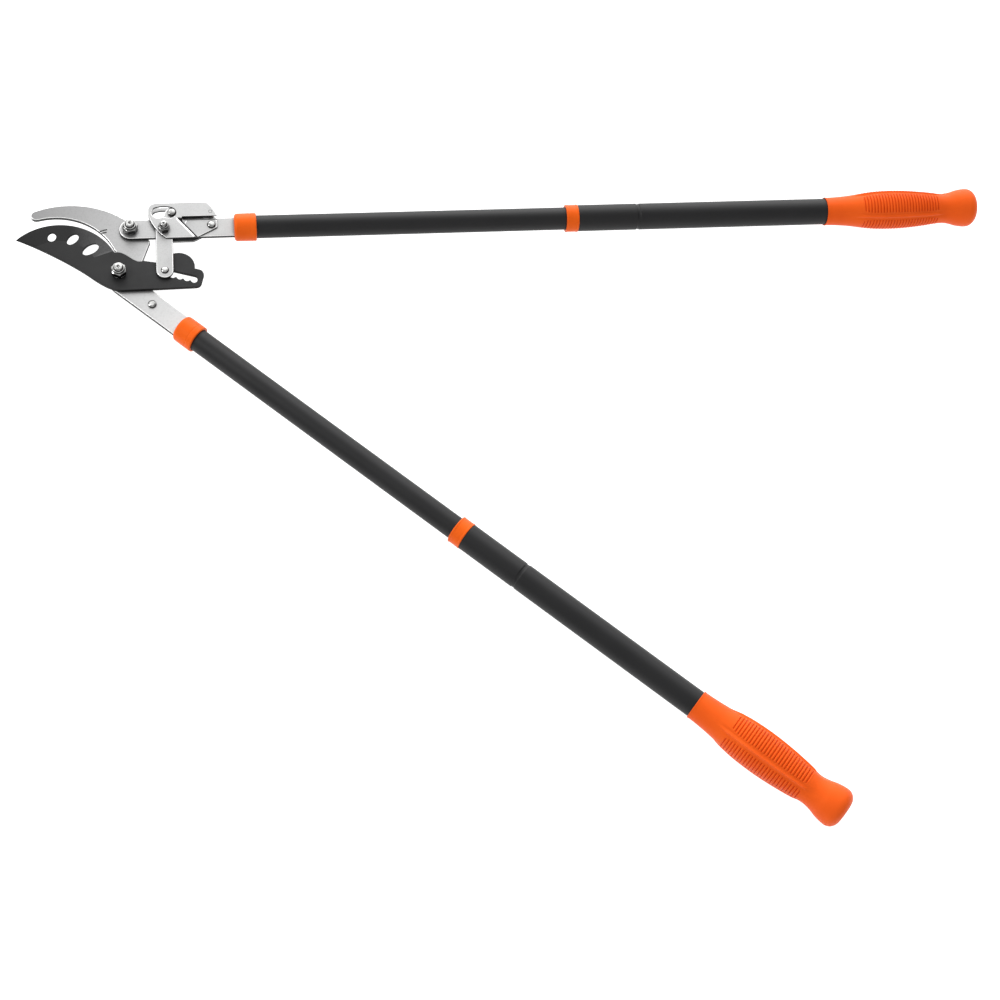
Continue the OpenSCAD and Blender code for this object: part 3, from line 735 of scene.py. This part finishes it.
near = []  # points that give the top face enough corners to bend along the stamped lines
for line in CREASES:
    for off in (-0.8, -0.5, -0.25, 0.0, 0.25, 0.5, 0.8):
        near += [(x - 0.3 * off, y + off) for x, y in densify(line, 0.5, closed=False)]
    near += [(x + cos(a), y + sin(a)) for x, y in (line[0], line[-1]) for a in np.arange(0, 2 * pi, 0.7)]
hook = plate([hook_outline(), disc((0, 0), PIVOT_BORE), disc(A, PIVOT_BORE)], HOOK_Z, HOOK_Z + HOOK_T,
             edge=0.9, steps=4, top=hook_top, points=near)
piece("hook_jaw_body", hook, STEEL, "fixed_jaw", ["hook_jaw"], faces_mat=hook_faces)

STUD_AT, STUD_R, STUD_HEAD_R, STUD_HEAD_H = low(45, LOWER_END[1] + TANG_OFF), 3.2, 4.0, 2.2
tang_top = HOOK_Z + HOOK_T
stud = fillet([(HOOK_Z, 0, 0), (HOOK_Z, STUD_R, 0.2), (HOOK_Z + 0.4, STUD_R, 0), (tang_top - 0.2, STUD_R, 0),
               (tang_top, STUD_HEAD_R, 0.1), (tang_top + 1.3, STUD_HEAD_R, 0.8),
               (tang_top + STUD_HEAD_H, 2.4, 0.9), (tang_top + STUD_HEAD_H, 0, 0)], 0, 5, closed=False)
# the stud's steep sides take the shaded zinc: painted shade
piece("stop_stud_body", lathe(stud, 72, "z", STUD_AT), ZINC, "fixed_jaw", ["stop_stud"],
      faces_mat=by_slope(0.75))


# ---------------------------------------------------------------- blade
SLOT_SLOPE, SEAT_PITCH = -17.1, 6.9


def tail_slot():
    """Outline of the toothed slot, traced along its slope as top and bottom heights."""
    a, mid = radians(SLOT_SLOPE), (43.3, -0.7)
    inner = (37 - mid[0], -0.15 - mid[1])
    start = (inner[0] * cos(a) + inner[1] * sin(a), inner[1] * cos(a) - inner[0] * sin(a))
    back = lambda u, v: (mid[0] + u * cos(a) - v * sin(a), mid[1] + u * sin(a) + v * cos(a))
    bars = [(start, (0, 0), 2.05), ((3.2, 0.3), (28.3, 0.3), 3.0), ((0, 0), (5, 0), 2.6)]
    seats = [(1.1 + SEAT_PITCH * i, -1.3) for i in range(5)]
    bars += [(seat, seat, 2.1 if i == 0 else 3.1) for i, seat in enumerate(seats)]
    ends = [p[0] - r for p, q, r in bars] + [q[0] + r for p, q, r in bars]
    u0, u1 = min(ends), max(ends)

    def span(u):
        lo, hi = 1e9, -1e9
        for p, q, r in bars:
            for k in range(41):
                cu, cv = p[0] + (q[0] - p[0]) * k / 40, p[1] + (q[1] - p[1]) * k / 40
                if abs(u - cu) < r:
                    h = sqrt(r * r - (u - cu) ** 2)
                    lo, hi = min(lo, cv - h), max(hi, cv + h)
        return lo, hi
    us = [u0 + (u1 - u0) * i / 150 for i in range(1, 150)]
    us = [u0 + 0.01, u0 + 0.05, u0 + 0.12] + us + [u1 - 0.12, u1 - 0.05, u1 - 0.01]
    rows = [(u, *span(u)) for u in us]
    rows = [r for r in rows if r[1] < 1e8]
    return [back(u, lo) for u, lo, hi in rows] + [back(u, hi) for u, lo, hi in reversed(rows)]


def blade_outline():
    tip = (-95.5, 41)
    ta = atan2(tip[1] - EDGE_C[1], tip[0] - EDGE_C[0]) * 180 / pi
    pts = arc(EDGE_C, EDGE_R, ta, 27.5, 110)
    pts += fillet([(-4.72, 26.24, 0), (-3.6, 22.8, 0.7), (-2.2, 22.84, 0)], 0, 4, closed=False)[1:-1]
    pts += curve((-3.0, 22.82), (7.2, 24.8), (14.6, 8.3), (22.9, 12.6), 30)[1:]
    pts += [(36, 10.1)] + curve((41, 9.3), (46, 9.3), (46, 16), (50.6, 19.2), 12)
    pts += arc((56.3, 5), 15.3, 104, -10, 44)
    pts += arc((73.4, -4.8), 6.4, 62, -8, 16) + arc((72, -12.6), 5.6, -8, -88, 16)
    pts += [(38, -18.9)] + curve((3, -19.3), (-8, -19.3), (-19.4, -9.6), (-27, -3), 24)
    pts += curve((-27.6, -2.5), (-42.1, 10.1), (-72, 29.5), (-94.9, 40.4), 30)
    return tidy(pts)


HEEL, HEEL_OUT = (-22, 18), (-6.6 / 19.17, 18 / 19.17)  # the line where the bevel's grinding ends
HEEL_RUN, BEVEL_DEPTH = 3.0, 3.1


def heel_distance(x, y):
    return ((x - HEEL[0]) * -6.6 + (y - HEEL[1]) * 18) / 19.17


def blade_top(x, y):
    drop = max(0.0, hypot(x - EDGE_C[0], y - EDGE_C[1]) - BEVEL_IN) * BEVEL_SLOPE
    d = heel_distance(x, y)
    run = 0 if d <= 0 else 1 - (1 - min(1.0, d / HEEL_RUN)) ** 2
    return PLANE + BLADE_T - min(drop, BEVEL_DEPTH) * run


def oval(c, a, b, tilt, n=64):
    t = radians(tilt)
    ring = [(a * cos(2 * pi * i / n), b * sin(2 * pi * i / n)) for i in range(n)]
    return [(c[0] + x * cos(t) - y * sin(t), c[1] + x * sin(t) + y * cos(t)) for x, y in ring]


windows = [oval((-62, 42.3), 5.2, 4, 80), oval((-42.5, 39.2), 7.2, 4.3, 52), oval((-26, 27.4), 8.9, 4.9, 38)]
rim = arc(EDGE_C, BEVEL_IN, 150, 29, 80)
rim = [p for p in rim if heel_distance(*p) > 0.05]
heel = []
for d in (0.0, 0.5, 1.0, 1.6, 2.3, 3.0):
    x0, y0 = HEEL[0] + HEEL_OUT[0] * d, HEEL[1] + HEEL_OUT[1] * d
    heel.append([(x0 + 0.939 * t, y0 + 0.344 * t) for t in np.arange(-0.6, 24, 1.2)])
field = []
for i in range(1, 9):
    r = BEVEL_IN + i * 2.4
    field += [p for p in arc(EDGE_C, r, 150, 20, int(130 * r / 110)) if heel_distance(*p) > 3.6]
blade = plate([blade_outline(), *windows, tail_slot(), disc((0, 0), PIVOT_BORE)], PLANE, PLANE + BLADE_T,
              edge=0.38, steps=3, top=blade_top, crisp=[rim, heel[0]], lines=heel[1:], points=field)


def on_bevel(c, n):
    far = hypot(c.x - EDGE_C[0], c.y - EDGE_C[1]) > BEVEL_IN + 0.1
    # side walls take the darker black: painted shade
    if n.z < 0.5:
        return 2
    return 1 if far and heel_distance(c.x, c.y) > 0 and c.x < 0 else 0


piece("cutting_blade_body", blade, ("black_steel", "ground_steel", "shaded_black_wall"), "blade", ["cutting_blade"],
      faces_mat=on_bevel)


# ---------------------------------------------------------------- upper lever and its plates
def lever_outline():
    y, end = A[1], UPPER_END[0] - NECK_IN
    return arc(A, LEVER_HALF, 90, 270, 40) + [
        (end, y - LEVER_HALF), (end, y - NECK_HALF), (end + NECK_LEN, y - NECK_HALF),
        (end + NECK_LEN, y + NECK_HALF), (end, y + NECK_HALF), (end, y + LEVER_HALF)]


piece("upper_lever_body", plate([lever_outline(), disc(A, PIVOT_BORE), disc(B, LINK_BORE)],
                                PLANE, PLANE + BLADE_T, edge=0.8, steps=4),
      PLATE, "upper_handle", ["upper_lever"], faces_mat=rounded)


SLOT_R, SLOT_HALF, SLOT_FROM, SLOT_TO = 19, 6, 72, 106


def arc_slot():
    """The curved slot of both plates, centred on the link's pivot."""
    first, last = ((B[0] + SLOT_R * cos(radians(a)), B[1] + SLOT_R * sin(radians(a)))
                   for a in (SLOT_FROM, SLOT_TO))
    return (arc(B, SLOT_R + SLOT_HALF, SLOT_FROM, SLOT_TO, 20)
            + arc(last, SLOT_HALF, SLOT_TO, SLOT_TO + 180, 20)[1:]
            + arc(B, SLOT_R - SLOT_HALF, SLOT_TO, SLOT_FROM, 14)[1:]
            + arc(first, SLOT_HALF, SLOT_FROM + 180, SLOT_FROM + 360, 20)[1:-1])


def plate_left():
    """The left part of both plates' outline, from the lower edge up to the top edge."""
    return (curve((45.8, 34.5), (37.5, 41), (29.2, 55), (29.2, 65), 24)
            + arc((37.6, 66.1), 8.4, 180, 90, 18))


NOTCH_X, NOTCH_TOP, NOTCH_LOW = 62.5, 58.4, 55.8
NOTCH_R = (NOTCH_TOP - NOTCH_LOW) / 2
PLATE_FOOT = [(95.2, 47.2, 2.0), (74, 35.6, 2.5), (71, 34.5, 2.5), (46, 34.5, 0)]
front_outline = (plate_left() + [(84.5, 74.5)]
                 + curve((85.5, 74.1), (89.5, 70.5), (93.2, 64.2), (94.7, 59.4), 12)
                 + fillet([(94.9, 58.9, 0), (94.9, NOTCH_TOP, 0.3), (NOTCH_X, NOTCH_TOP, 0)],
                          0, 3, closed=False)[1:]
                 + arc((NOTCH_X, NOTCH_TOP - NOTCH_R), NOTCH_R, 90, 270, 14)
                 + fillet([(NOTCH_X, NOTCH_LOW, 0), (95.2, NOTCH_LOW, 0.8), *PLATE_FOOT],
                          0, 6, closed=False)[1:-1])
rear_outline = (plate_left() + [(84.5, 74.5)]
                + curve((85.5, 74.1), (89.5, 70.5), (93.6, 63), (95.2, 57.3), 12)
                + fillet([(95.2, 57.0, 0), *PLATE_FOOT], 0, 6, closed=False)[1:-1])
BEND, BEND_A = (58.8, 53.2), radians(37.8)
BEND_DROP, BEND_RUN, BEND_TOP = 3.2, 3.4, 57.0


def past_bend(x, y):
    return (x - BEND[0]) * cos(BEND_A) + (y - BEND[1]) * sin(BEND_A)


def bend_fall(x, y):
    """How far the front plate has stepped down at a point: nothing above the notch, a ramp along the bend."""
    return BEND_DROP * smooth(past_bend(x, y) / BEND_RUN) * smooth((BEND_TOP - y) / 2.0)


ramp_lines = []
for t in (-1.0, 0.0, 0.35, 0.7, 1.2, 1.8, 2.4, 2.9, BEND_RUN):
    x0, y0 = BEND[0] + t * cos(BEND_A), BEND[1] + t * sin(BEND_A)
    ramp_lines.append([(x0 + sin(BEND_A) * s, y0 - cos(BEND_A) * s)
                       for s in np.arange(-2.6 + t * 0.6, 30, 0.9)])
patch = [(x, y) for x in np.arange(54, NOTCH_X + 2, 0.55) for y in np.arange(54.6, 60, 0.55)]
front = plate([densify(tidy(front_outline), 1.0), arc_slot(), disc(B, LINK_BORE)], FRONT_Z, FRONT_TOP,
              edge=0.6, steps=4, top=lambda x, y: FRONT_TOP - bend_fall(x, y),
              bottom=lambda x, y: FRONT_Z - bend_fall(x, y), lines=ramp_lines, points=patch)


def plate_faces(c, n):
    """The far wall of the curved slot takes the dark wall material: painted shade between the plates."""
    in_slot = n.z < 0.985 and 34 < c.x < 60 and 17 < hypot(c.x - B[0], c.y - B[1]) < 26.2
    if in_slot and n.x * (B[0] - c.x) + n.y * (B[1] - c.y) > 0:
        return 1
    return rounded(c, n)


def front_faces(c, n):
    """The bend is painted as a bright line, a painted highlight, with a dark one beside it, a painted shade.
    """
    t = past_bend(c.x, c.y)
    if -1.0 < t < BEND_RUN + 0.1 and c.y < BEND_TOP and n.z > 0.3 and c.x > 56:
        return 2 if t < 0.7 else 1
    return plate_faces(c, n)


piece("front_plate_body", front, PLATE, "upper_handle", ["front_ratchet_plate"],
      faces_mat=front_faces)
piece("rear_plate_body",
      plate([rear_outline, arc_slot(), disc(B, LINK_BORE)], REAR_Z, PLANE, edge=0.6, steps=4),
      PLATE, "upper_handle", ["rear_ratchet_plate"], faces_mat=plate_faces)


# ---------------------------------------------------------------- link
def link_outline():
    arms = [(C, 8.2), (D, 6.6)]
    out = []
    for k in range(360):
        a = radians(k)
        d = Vector((cos(a), sin(a)))
        best = 8.2
        for tip, r in arms:
            axis = Vector((tip[0] - B[0], tip[1] - B[1]))
            length = axis.length
            axis /= length
            along, across = d.dot(axis), abs(d.x * axis.y - d.y * axis.x)
            lo, hi = 0.0, length + r + 1
            for _ in range(30):
                m = (lo + hi) / 2
                s = max(0.0, min(length, m * along))
                if hypot(m * along - s, m * across) < r:
                    lo = m
                else:
                    hi = m
            best = max(best, lo)
        out.append((B[0] + d.x * best, B[1] + d.y * best))
    return out


link = plate([link_outline(), disc(B, 4.55)], LINK_Z, LINK_Z + LINK_T, edge=0.95, steps=4)
piece("ratchet_link_body", link, PLATE, "link", ["ratchet_link"],
      faces_mat=rounded)

# ---------------------------------------------------------------- fasteners
NUT_Z = LEVER_TOP + 1.2
LINK_TOP = LINK_Z + LINK_T
# steep sides of the bolts, nuts and washers take the shaded zinc: painted shade
steep = by_slope(0.55)
# bolts: place, radius, across flats, head, head's height, end, thread's start, pitch, turn
for name, at, turn in (("main_pivot", (0, 0), 0.35), ("handle_pivot", A, 0.9)):
    piece(name + "_bolt_body", bolt(at, PIVOT_R, 13, HOOK_Z, 5.3, PLANE + 14.8, NUT_Z + 6.5, 1.25, turn),
          ZINC, "fixed_jaw", [name + "_bolt"], sharp=30, bevel=0.14, faces_mat=steep)
    piece(name + "_nut_body", lock_nut(at, PIVOT_R, 13, NUT_Z, 8, turn + 0.3), ZINC, "fixed_jaw",
          [name + "_nut"], sharp=30, bevel=0.14, faces_mat=steep)
    piece(name + "_washer_body", washer(at, PIVOT_BORE, 6.6, LEVER_TOP + 0.1, 1.1), ZINC, "fixed_jaw",
          [name + "_washer"], faces_mat=steep)
piece("link_bolt_body", bolt(B, LINK_BOLT_R, 10, REAR_Z, 4, FRONT_TOP + 10, FRONT_TOP + 6, 1.0, 0.2),
      ZINC, "upper_handle", ["link_pivot_bolt"], sharp=30, bevel=0.12, faces_mat=steep)
piece("link_nut_body", lock_nut(B, LINK_BOLT_R, 10, FRONT_TOP, 7.4, 0.2), ZINC, "upper_handle",
      ["link_pivot_nut"], sharp=30, bevel=0.12, faces_mat=steep)
piece("link_bush_body", washer(B, LINK_BORE, 4.5, LEVER_TOP, 3.2), ZINC, "upper_handle", ["link_bush"],
      faces_mat=steep)
# the domes' steep outer rings take the shaded zinc: painted shade
for name, shape, body in (
        ("ratchet_pin", rivet(C, 1.7, 3.8, LINK_TOP, 1.8, PLANE - 1.7, 4.2, 1.6), "link"),
        ("link_stop_pin", rivet(D, 1.6, 3.9, FRONT_TOP + 0.2, 1.5, PLANE + 0.3, 2.6, 0.7), "link"),
        ("plate_rivet", rivet(F, 2, 4.2, LEVER_TOP + PLATE_T, 2.3, REAR_Z - 1.4, 4.2, 1.4), "upper_handle")):
    piece(name + "_body", shape, ZINC, body, [name], faces_mat=by_slope(0.84))
pin = fillet([(REAR_Z - 0.9, 0, 0), (REAR_Z - 0.9, 3, 0.3), (REAR_Z, 3, 0.2), (REAR_Z, 2, 0),
              (FRONT_TOP, 2, 0.25), (FRONT_TOP, 1.35, 0.1), (FRONT_TOP - 0.35, 1.1, 0.1),
              (FRONT_TOP - 0.35, 0, 0)], 0, 3, closed=False)
# the pin's steep sides take the shaded zinc: painted shade
piece("anchor_pin_body", lathe(pin, 48, "z", E), ZINC, "upper_handle", ["spring_anchor_pin"],
      faces_mat=by_slope(0.9))

# spring: a loop round the stop pin, the close-wound coil, a loop round the anchor
SPRING_Z, LOOP_Z, WIRE = PLANE + 3.1, PLANE + 1.5, 0.4
coil_r, x0, x1, turns = 2.1, 62.0, 82.0, 22
path = [(D[0] + 0.6 + 2.3 * cos(radians(a)), D[1] - 0.3 + 2.3 * sin(radians(a)), LOOP_Z)
        for a in range(40, 345, 12)]
path += [(57.5, 63.0, LOOP_Z), (59.5, 63.2, LOOP_Z - 0.1), (61.2, 63.1, LOOP_Z - 0.4)]
for k in range(turns * 20 + 1):
    a = 2 * pi * k / 20 - pi / 2
    path.append((x0 + (x1 - x0) * k / (turns * 20), E[1] + coil_r * cos(a), SPRING_Z + coil_r * sin(a)))
path += [(82.9, 63.4, LOOP_Z - 0.35), (84.2, 63.3, LOOP_Z), (85.6, 62.9, LOOP_Z)]
path += [(E[0] + 2.5 * cos(radians(a)), E[1] + 2.5 * sin(radians(a)), LOOP_Z) for a in range(190, 520, 12)]
piece("spring_body", sweep(path, WIRE), "spring_steel", "upper_handle", ["ratchet_spring"])


# ---------------------------------------------------------------- handles
INNER_R, INNER_IN_R, OUTER_R, OUTER_IN_R = 11.1, 9.9, 13.0, 11.8
COLLAR_R, COLLAR_LEN, COLLAR_LINE = 13.5, 21.5, -5.9
RING_R, RING_AT, RING_END = 13.6, 306.2, 318.6
OUTER_AT, OUTER_END, DENT_AT = RING_END + 0.05, 727.4, 380.0


def collar():
    r, g = COLLAR_R, COLLAR_LINE
    return fillet([(0.2 - COLLAR_LEN, 0, 0), (-COLLAR_LEN, 7, 1.5), (0.2 - COLLAR_LEN, r - 0.15, 5.0),
                   (g - 0.7, r, 0.4), (g - 0.3, r - 0.14, 0.2), (g + 0.3, r - 0.14, 0.2), (g + 0.7, r, 0.4),
                   (0, r, 1.0), (0, 11.15, 0.3), (-17.4, 11.15, 0), (-17.4, 0, 0)], 0, 7, closed=False)


def lock_ring():
    a, b, r = RING_AT, RING_END, RING_R
    return fillet([(a, 11.2, 0.3), (a, r - 0.1, 0.7), (a + 1.6, r, 0.3), (a + 2.0, r - 0.28, 0.2),
                   (b - 2.0, r - 0.28, 0.2), (b - 1.6, r, 0.3), (b, r, 0.6), (b, OUTER_IN_R, 0),
                   (b + 26, OUTER_IN_R, 0.3), (b + 26, 11.2, 0.1)], 0, 5)


def outer_tube():
    """The outer tube; its crimped groove meets the stop plug at full extension."""
    g, r, q = DENT_AT, OUTER_R, OUTER_IN_R
    dip = [(g - 1.9, r, 0.5), (g - 0.9, r - 0.6, 0.4), (g + 0.9, r - 0.6, 0.4), (g + 1.9, r, 0.5)]
    under = [(g + 1.9, q, 0), (g + 0.8, q - 0.5, 0), (g - 0.8, q - 0.5, 0), (g - 1.9, q, 0)]
    return fillet([(OUTER_AT, q, 0), (OUTER_AT, r, 0.25), *dip,
                   (OUTER_END, r, 0.2), (OUTER_END, q, 0), *under], 0, 5)


GRIP_AT, GRIP_LEN = 575.7, 160.7
GRIP_R = [(0, 13.8), (11, 14.2), (25, 15.3), (39, 17.2), (52, 18.7), (66, 19.25), (80, 19.1), (94, 18.2),
          (107, 16.9), (119, 15.4), (127, 15.0), (134, 16.0), (140.5, 17.9), (147, 19.0), (151, 19.25)]


def grip_radius(s):
    """Smooth curve through the grip's radii."""
    for i in range(len(GRIP_R) - 1):
        (a, ra), (b, rb) = GRIP_R[i], GRIP_R[i + 1]
        if s <= b:
            before = GRIP_R[max(i - 1, 0)]
            after = GRIP_R[min(i + 2, len(GRIP_R) - 1)]
            ma = (rb - before[1]) / (b - before[0]) if i else (rb - ra) / (b - a)
            mb = (after[1] - ra) / (after[0] - a)
            if i + 2 >= len(GRIP_R):
                mb = 0.0
            t, h = (s - a) / (b - a), b - a
            return ((2 * t ** 3 - 3 * t * t + 1) * ra + (t ** 3 - 2 * t * t + t) * h * ma
                    + (3 * t * t - 2 * t ** 3) * rb + (t ** 3 - t * t) * h * mb)
    return GRIP_R[-1][1]


RIB_PITCH, RIB_FROM, RIB_TO, RIB_DEPTH = 3.13, 37.5, 119.5, 0.8
PANEL_HALF, CREST_H, BULB_FROM, BULB_R = 34.5, 1.3, 151, 19.25


def rib(s, a, crest_at):
    """How strongly the ribbed panels show at a place, and how deep in a groove it is."""
    deg = abs((a - crest_at + pi / 4) % (pi / 2) - pi / 4) * 180 / pi
    reach = 1 - abs((s - (RIB_FROM + RIB_TO) / 2) / ((RIB_TO - RIB_FROM) / 2)) ** 8
    if reach <= 0:
        return deg, 0.0, 0.0
    half = PANEL_HALF * reach ** 0.15
    panel = smooth((deg - (45 - half)) / 3.0) * smooth(reach * 8)
    return deg, panel, (0.5 - 0.5 * cos(2 * pi * (s - RIB_FROM) / RIB_PITCH)) ** 1.8


def grip(crest_at):
    """crest_at is the angle of one of the four smooth crests; ribbed panels lie between them."""
    def swell(s, a):
        deg, panel, groove = rib(s, a, crest_at)
        along = smooth((s - 24) / 16) * smooth((126 - s) / 12)
        out = along * (CREST_H * exp(-deg / 3.2) - 0.6 * exp(-((deg - 7.5) / 4.5) ** 2) - 0.05)
        out += panel * (0.15 - RIB_DEPTH * groove)
        return out - 0.6 * exp(-((s - 125) / 5) ** 2 - (deg / 12) ** 2)

    rows = [(0.0, 13.75), (0.1, 14.0), (0.35, 14.2), (0.8, 14.22), (1.4, 14.05), (2.0, 13.95)]
    s = 2.8
    while s < BULB_FROM - 0.1:
        rows.append((s, grip_radius(s)))
        s += RIB_PITCH / 12 if RIB_FROM - 1 < s < RIB_TO + 1 else 1.6
    flat_r = 9
    rows += [(BULB_FROM + (GRIP_LEN - BULB_FROM) * sin(radians(a)),
              flat_r + (BULB_R - flat_r) * cos(radians(a))) for a in range(0, 91, 8)]
    rows += [(GRIP_LEN, flat_r), (GRIP_LEN, 4), (GRIP_LEN, 0)]
    bore = [(152.6, 0), (152.6, 12.9), (152.5, 13.05), (1.6, 13.05), (1.4, 13.55), (0.0, 13.65)]
    verts, faces, _ = lathe([(GRIP_AT + h, r) for h, r in bore + rows], 192)
    out = []
    for x, y, z in verts:
        r, s = hypot(y, z), x - GRIP_AT
        if r > 13.8 and 2.5 < s < 150:
            k = (r + swell(s, atan2(z, y))) / r
            y, z = y * k, z * k
        out.append((x, y, z))
    index = []
    for f in faces:
        c = [sum(verts[i][k] for i in f) / len(f) for k in range(3)]
        _, panel, groove = rib(c[0] - GRIP_AT, atan2(c[2], c[1]), crest_at)
        # the grooves of the ribbed panels take the darker orange: painted shade in the grooves
        index.append(1 if hypot(c[1], c[2]) > 13.3 and panel > 0.45 and groove > 0.5 else 0)
    return (out, faces, set()), index


for side, jaw, crest in (("upper", "upper_handle", radians(144)), ("lower", "fixed_jaw", radians(124))):
    ext = side + "_extension"
    half = (LEVER_HALF if side == "upper" else TANG_HALF) + 0.2
    thick = (BLADE_T if side == "upper" else HOOK_T) / 2 + 0.12
    off = 0.0 if side == "upper" else TANG_OFF
    ob = piece(side + "_collar_body", lathe(collar(), 128), "orange_plastic", jaw, [side + "_collar"],
               place=side)
    cut(ob, (-23, off - half, -thick), (-17.9, off + half, thick), side)
    cut(ob, (-18.2, -NECK_HALF - 0.15, -thick), (-17, NECK_HALF + 0.15, thick), side)
    tube = fillet([(-17.4, INNER_IN_R), (-17.4, INNER_R), (382.2, INNER_R), (382.2, INNER_IN_R)], 0.2, 2)
    piece(side + "_inner_tube_body", lathe(tube, 128, closed=True), "black_tube", jaw, [side + "_inner_tube"],
          place=side)
    piece(side + "_lock_ring_body", lathe(lock_ring(), 128, closed=True), "orange_plastic", ext,
          [side + "_lock_ring"], place=side)
    piece(side + "_outer_tube_body", lathe(outer_tube(), 128, closed=True), "black_tube", ext,
          [side + "_outer_tube"], place=side)
    shape, index = grip(crest)
    piece(side + "_grip_body", shape, ("orange_grip", "shaded_orange_groove"), ext, [side + "_grip"], place=side,
          sharp=60, faces_mat=index)

# hidden inner nodes keep their shape and take the library's materials
for node, ob in frame["nodes"].items():
    if not ob.hide_render:
        slot = next(s["material_slot"] for s in frame["record"]["subparts"] if s["node"] == node)
        ob.data.materials.clear()
        ob.data.materials.append(MATS[slot])

# ---------------------------------------------------------------- floor, light and camera
me = bpy.data.meshes.new("floor")
size, floor_z = 30.0, cad_lo.z - 0.0003
me.from_pydata([(x * size, y * size, floor_z) for x, y in ((-1, -1), (1, -1), (1, 1), (-1, 1))],
               [], [(0, 1, 2, 3)])
floor = bpy.data.objects.new("floor", me)
bpy.context.scene.collection.objects.link(floor)
fm = bpy.data.materials.new("floor")
fm.use_nodes = True
fb = fm.node_tree.nodes["Principled BSDF"]
fb.inputs["Base Color"].default_value = (0.45, 0.45, 0.45, 1)
fb.inputs["Roughness"].default_value = 0.9
fb.inputs["Specular IOR Level"].default_value = 0.0
fb.inputs["Emission Color"].default_value = (1, 1, 1, 1)
fb.inputs["Emission Strength"].default_value = 0.92
me.materials.append(fm)

cam = bpy.data.objects.new("camera", bpy.data.cameras.new("camera"))
bpy.context.scene.collection.objects.link(cam)
eye, aim = Vector((0.07834, -0.94728, 1.55379)), Vector((0.33957, -0.25596, 0.011))
cam.location = eye
cam.rotation_mode = "QUATERNION"
cam.rotation_quaternion = (aim - eye).to_track_quat("-Z", "Y") @ Quaternion((0, 0, 1), radians(15.93))
cam.data.lens = 66.6
cam.data.sensor_width = 36
cam.data.clip_start, cam.data.clip_end = 0.05, 60
bpy.context.scene.camera = cam

world = bpy.data.worlds.new("world")
bpy.context.scene.world = world
world.use_nodes = True
wt = world.node_tree
bg = wt.nodes["Background"]
bg.inputs["Color"].default_value = (1, 1, 1, 1)
sky = wt.nodes.new("ShaderNodeTexCoord").outputs["Generated"]


def lobe(towards, power, strength):
    """A soft patch of sky round a direction."""
    dot = wt.nodes.new("ShaderNodeVectorMath")
    dot.operation = "DOT_PRODUCT"
    wt.links.new(sky, dot.inputs[0])
    dot.inputs[1].default_value = towards
    patch = math_node(wt, "POWER", math_node(wt, "MAXIMUM", dot.outputs["Value"], 0.0), power)
    return math_node(wt, "MULTIPLY", patch, strength)


glow = math_node(wt, "ADD", lobe((0.10, 0.88, 0.46), 4.0, 4.4), lobe((-0.05, -0.85, 0.52), 2.0, 0.9))
wt.links.new(math_node(wt, "ADD", glow, 0.20), bg.inputs["Strength"])


def lamp(name, place, size, power):
    """A soft box that faces the middle of the object."""
    data = bpy.data.lights.new(name, "AREA")
    data.shape, data.size, data.size_y, data.energy = "RECTANGLE", size[0], size[1], power
    ob = bpy.data.objects.new(name, data)
    bpy.context.scene.collection.objects.link(ob)
    ob.location = place
    ob.rotation_mode = "QUATERNION"
    ob.rotation_quaternion = (Vector((0.35, -0.2, 0)) - Vector(place)).to_track_quat("-Z", "Y")


lamp("back_box", (-0.3, 1.9, 1.2), (1.6, 0.3), 8)
lamp("left_box", (-1.7, 0.1, 1.4), (0.9, 1.4), 30)

bpy.context.scene.view_settings.view_transform = "Standard"
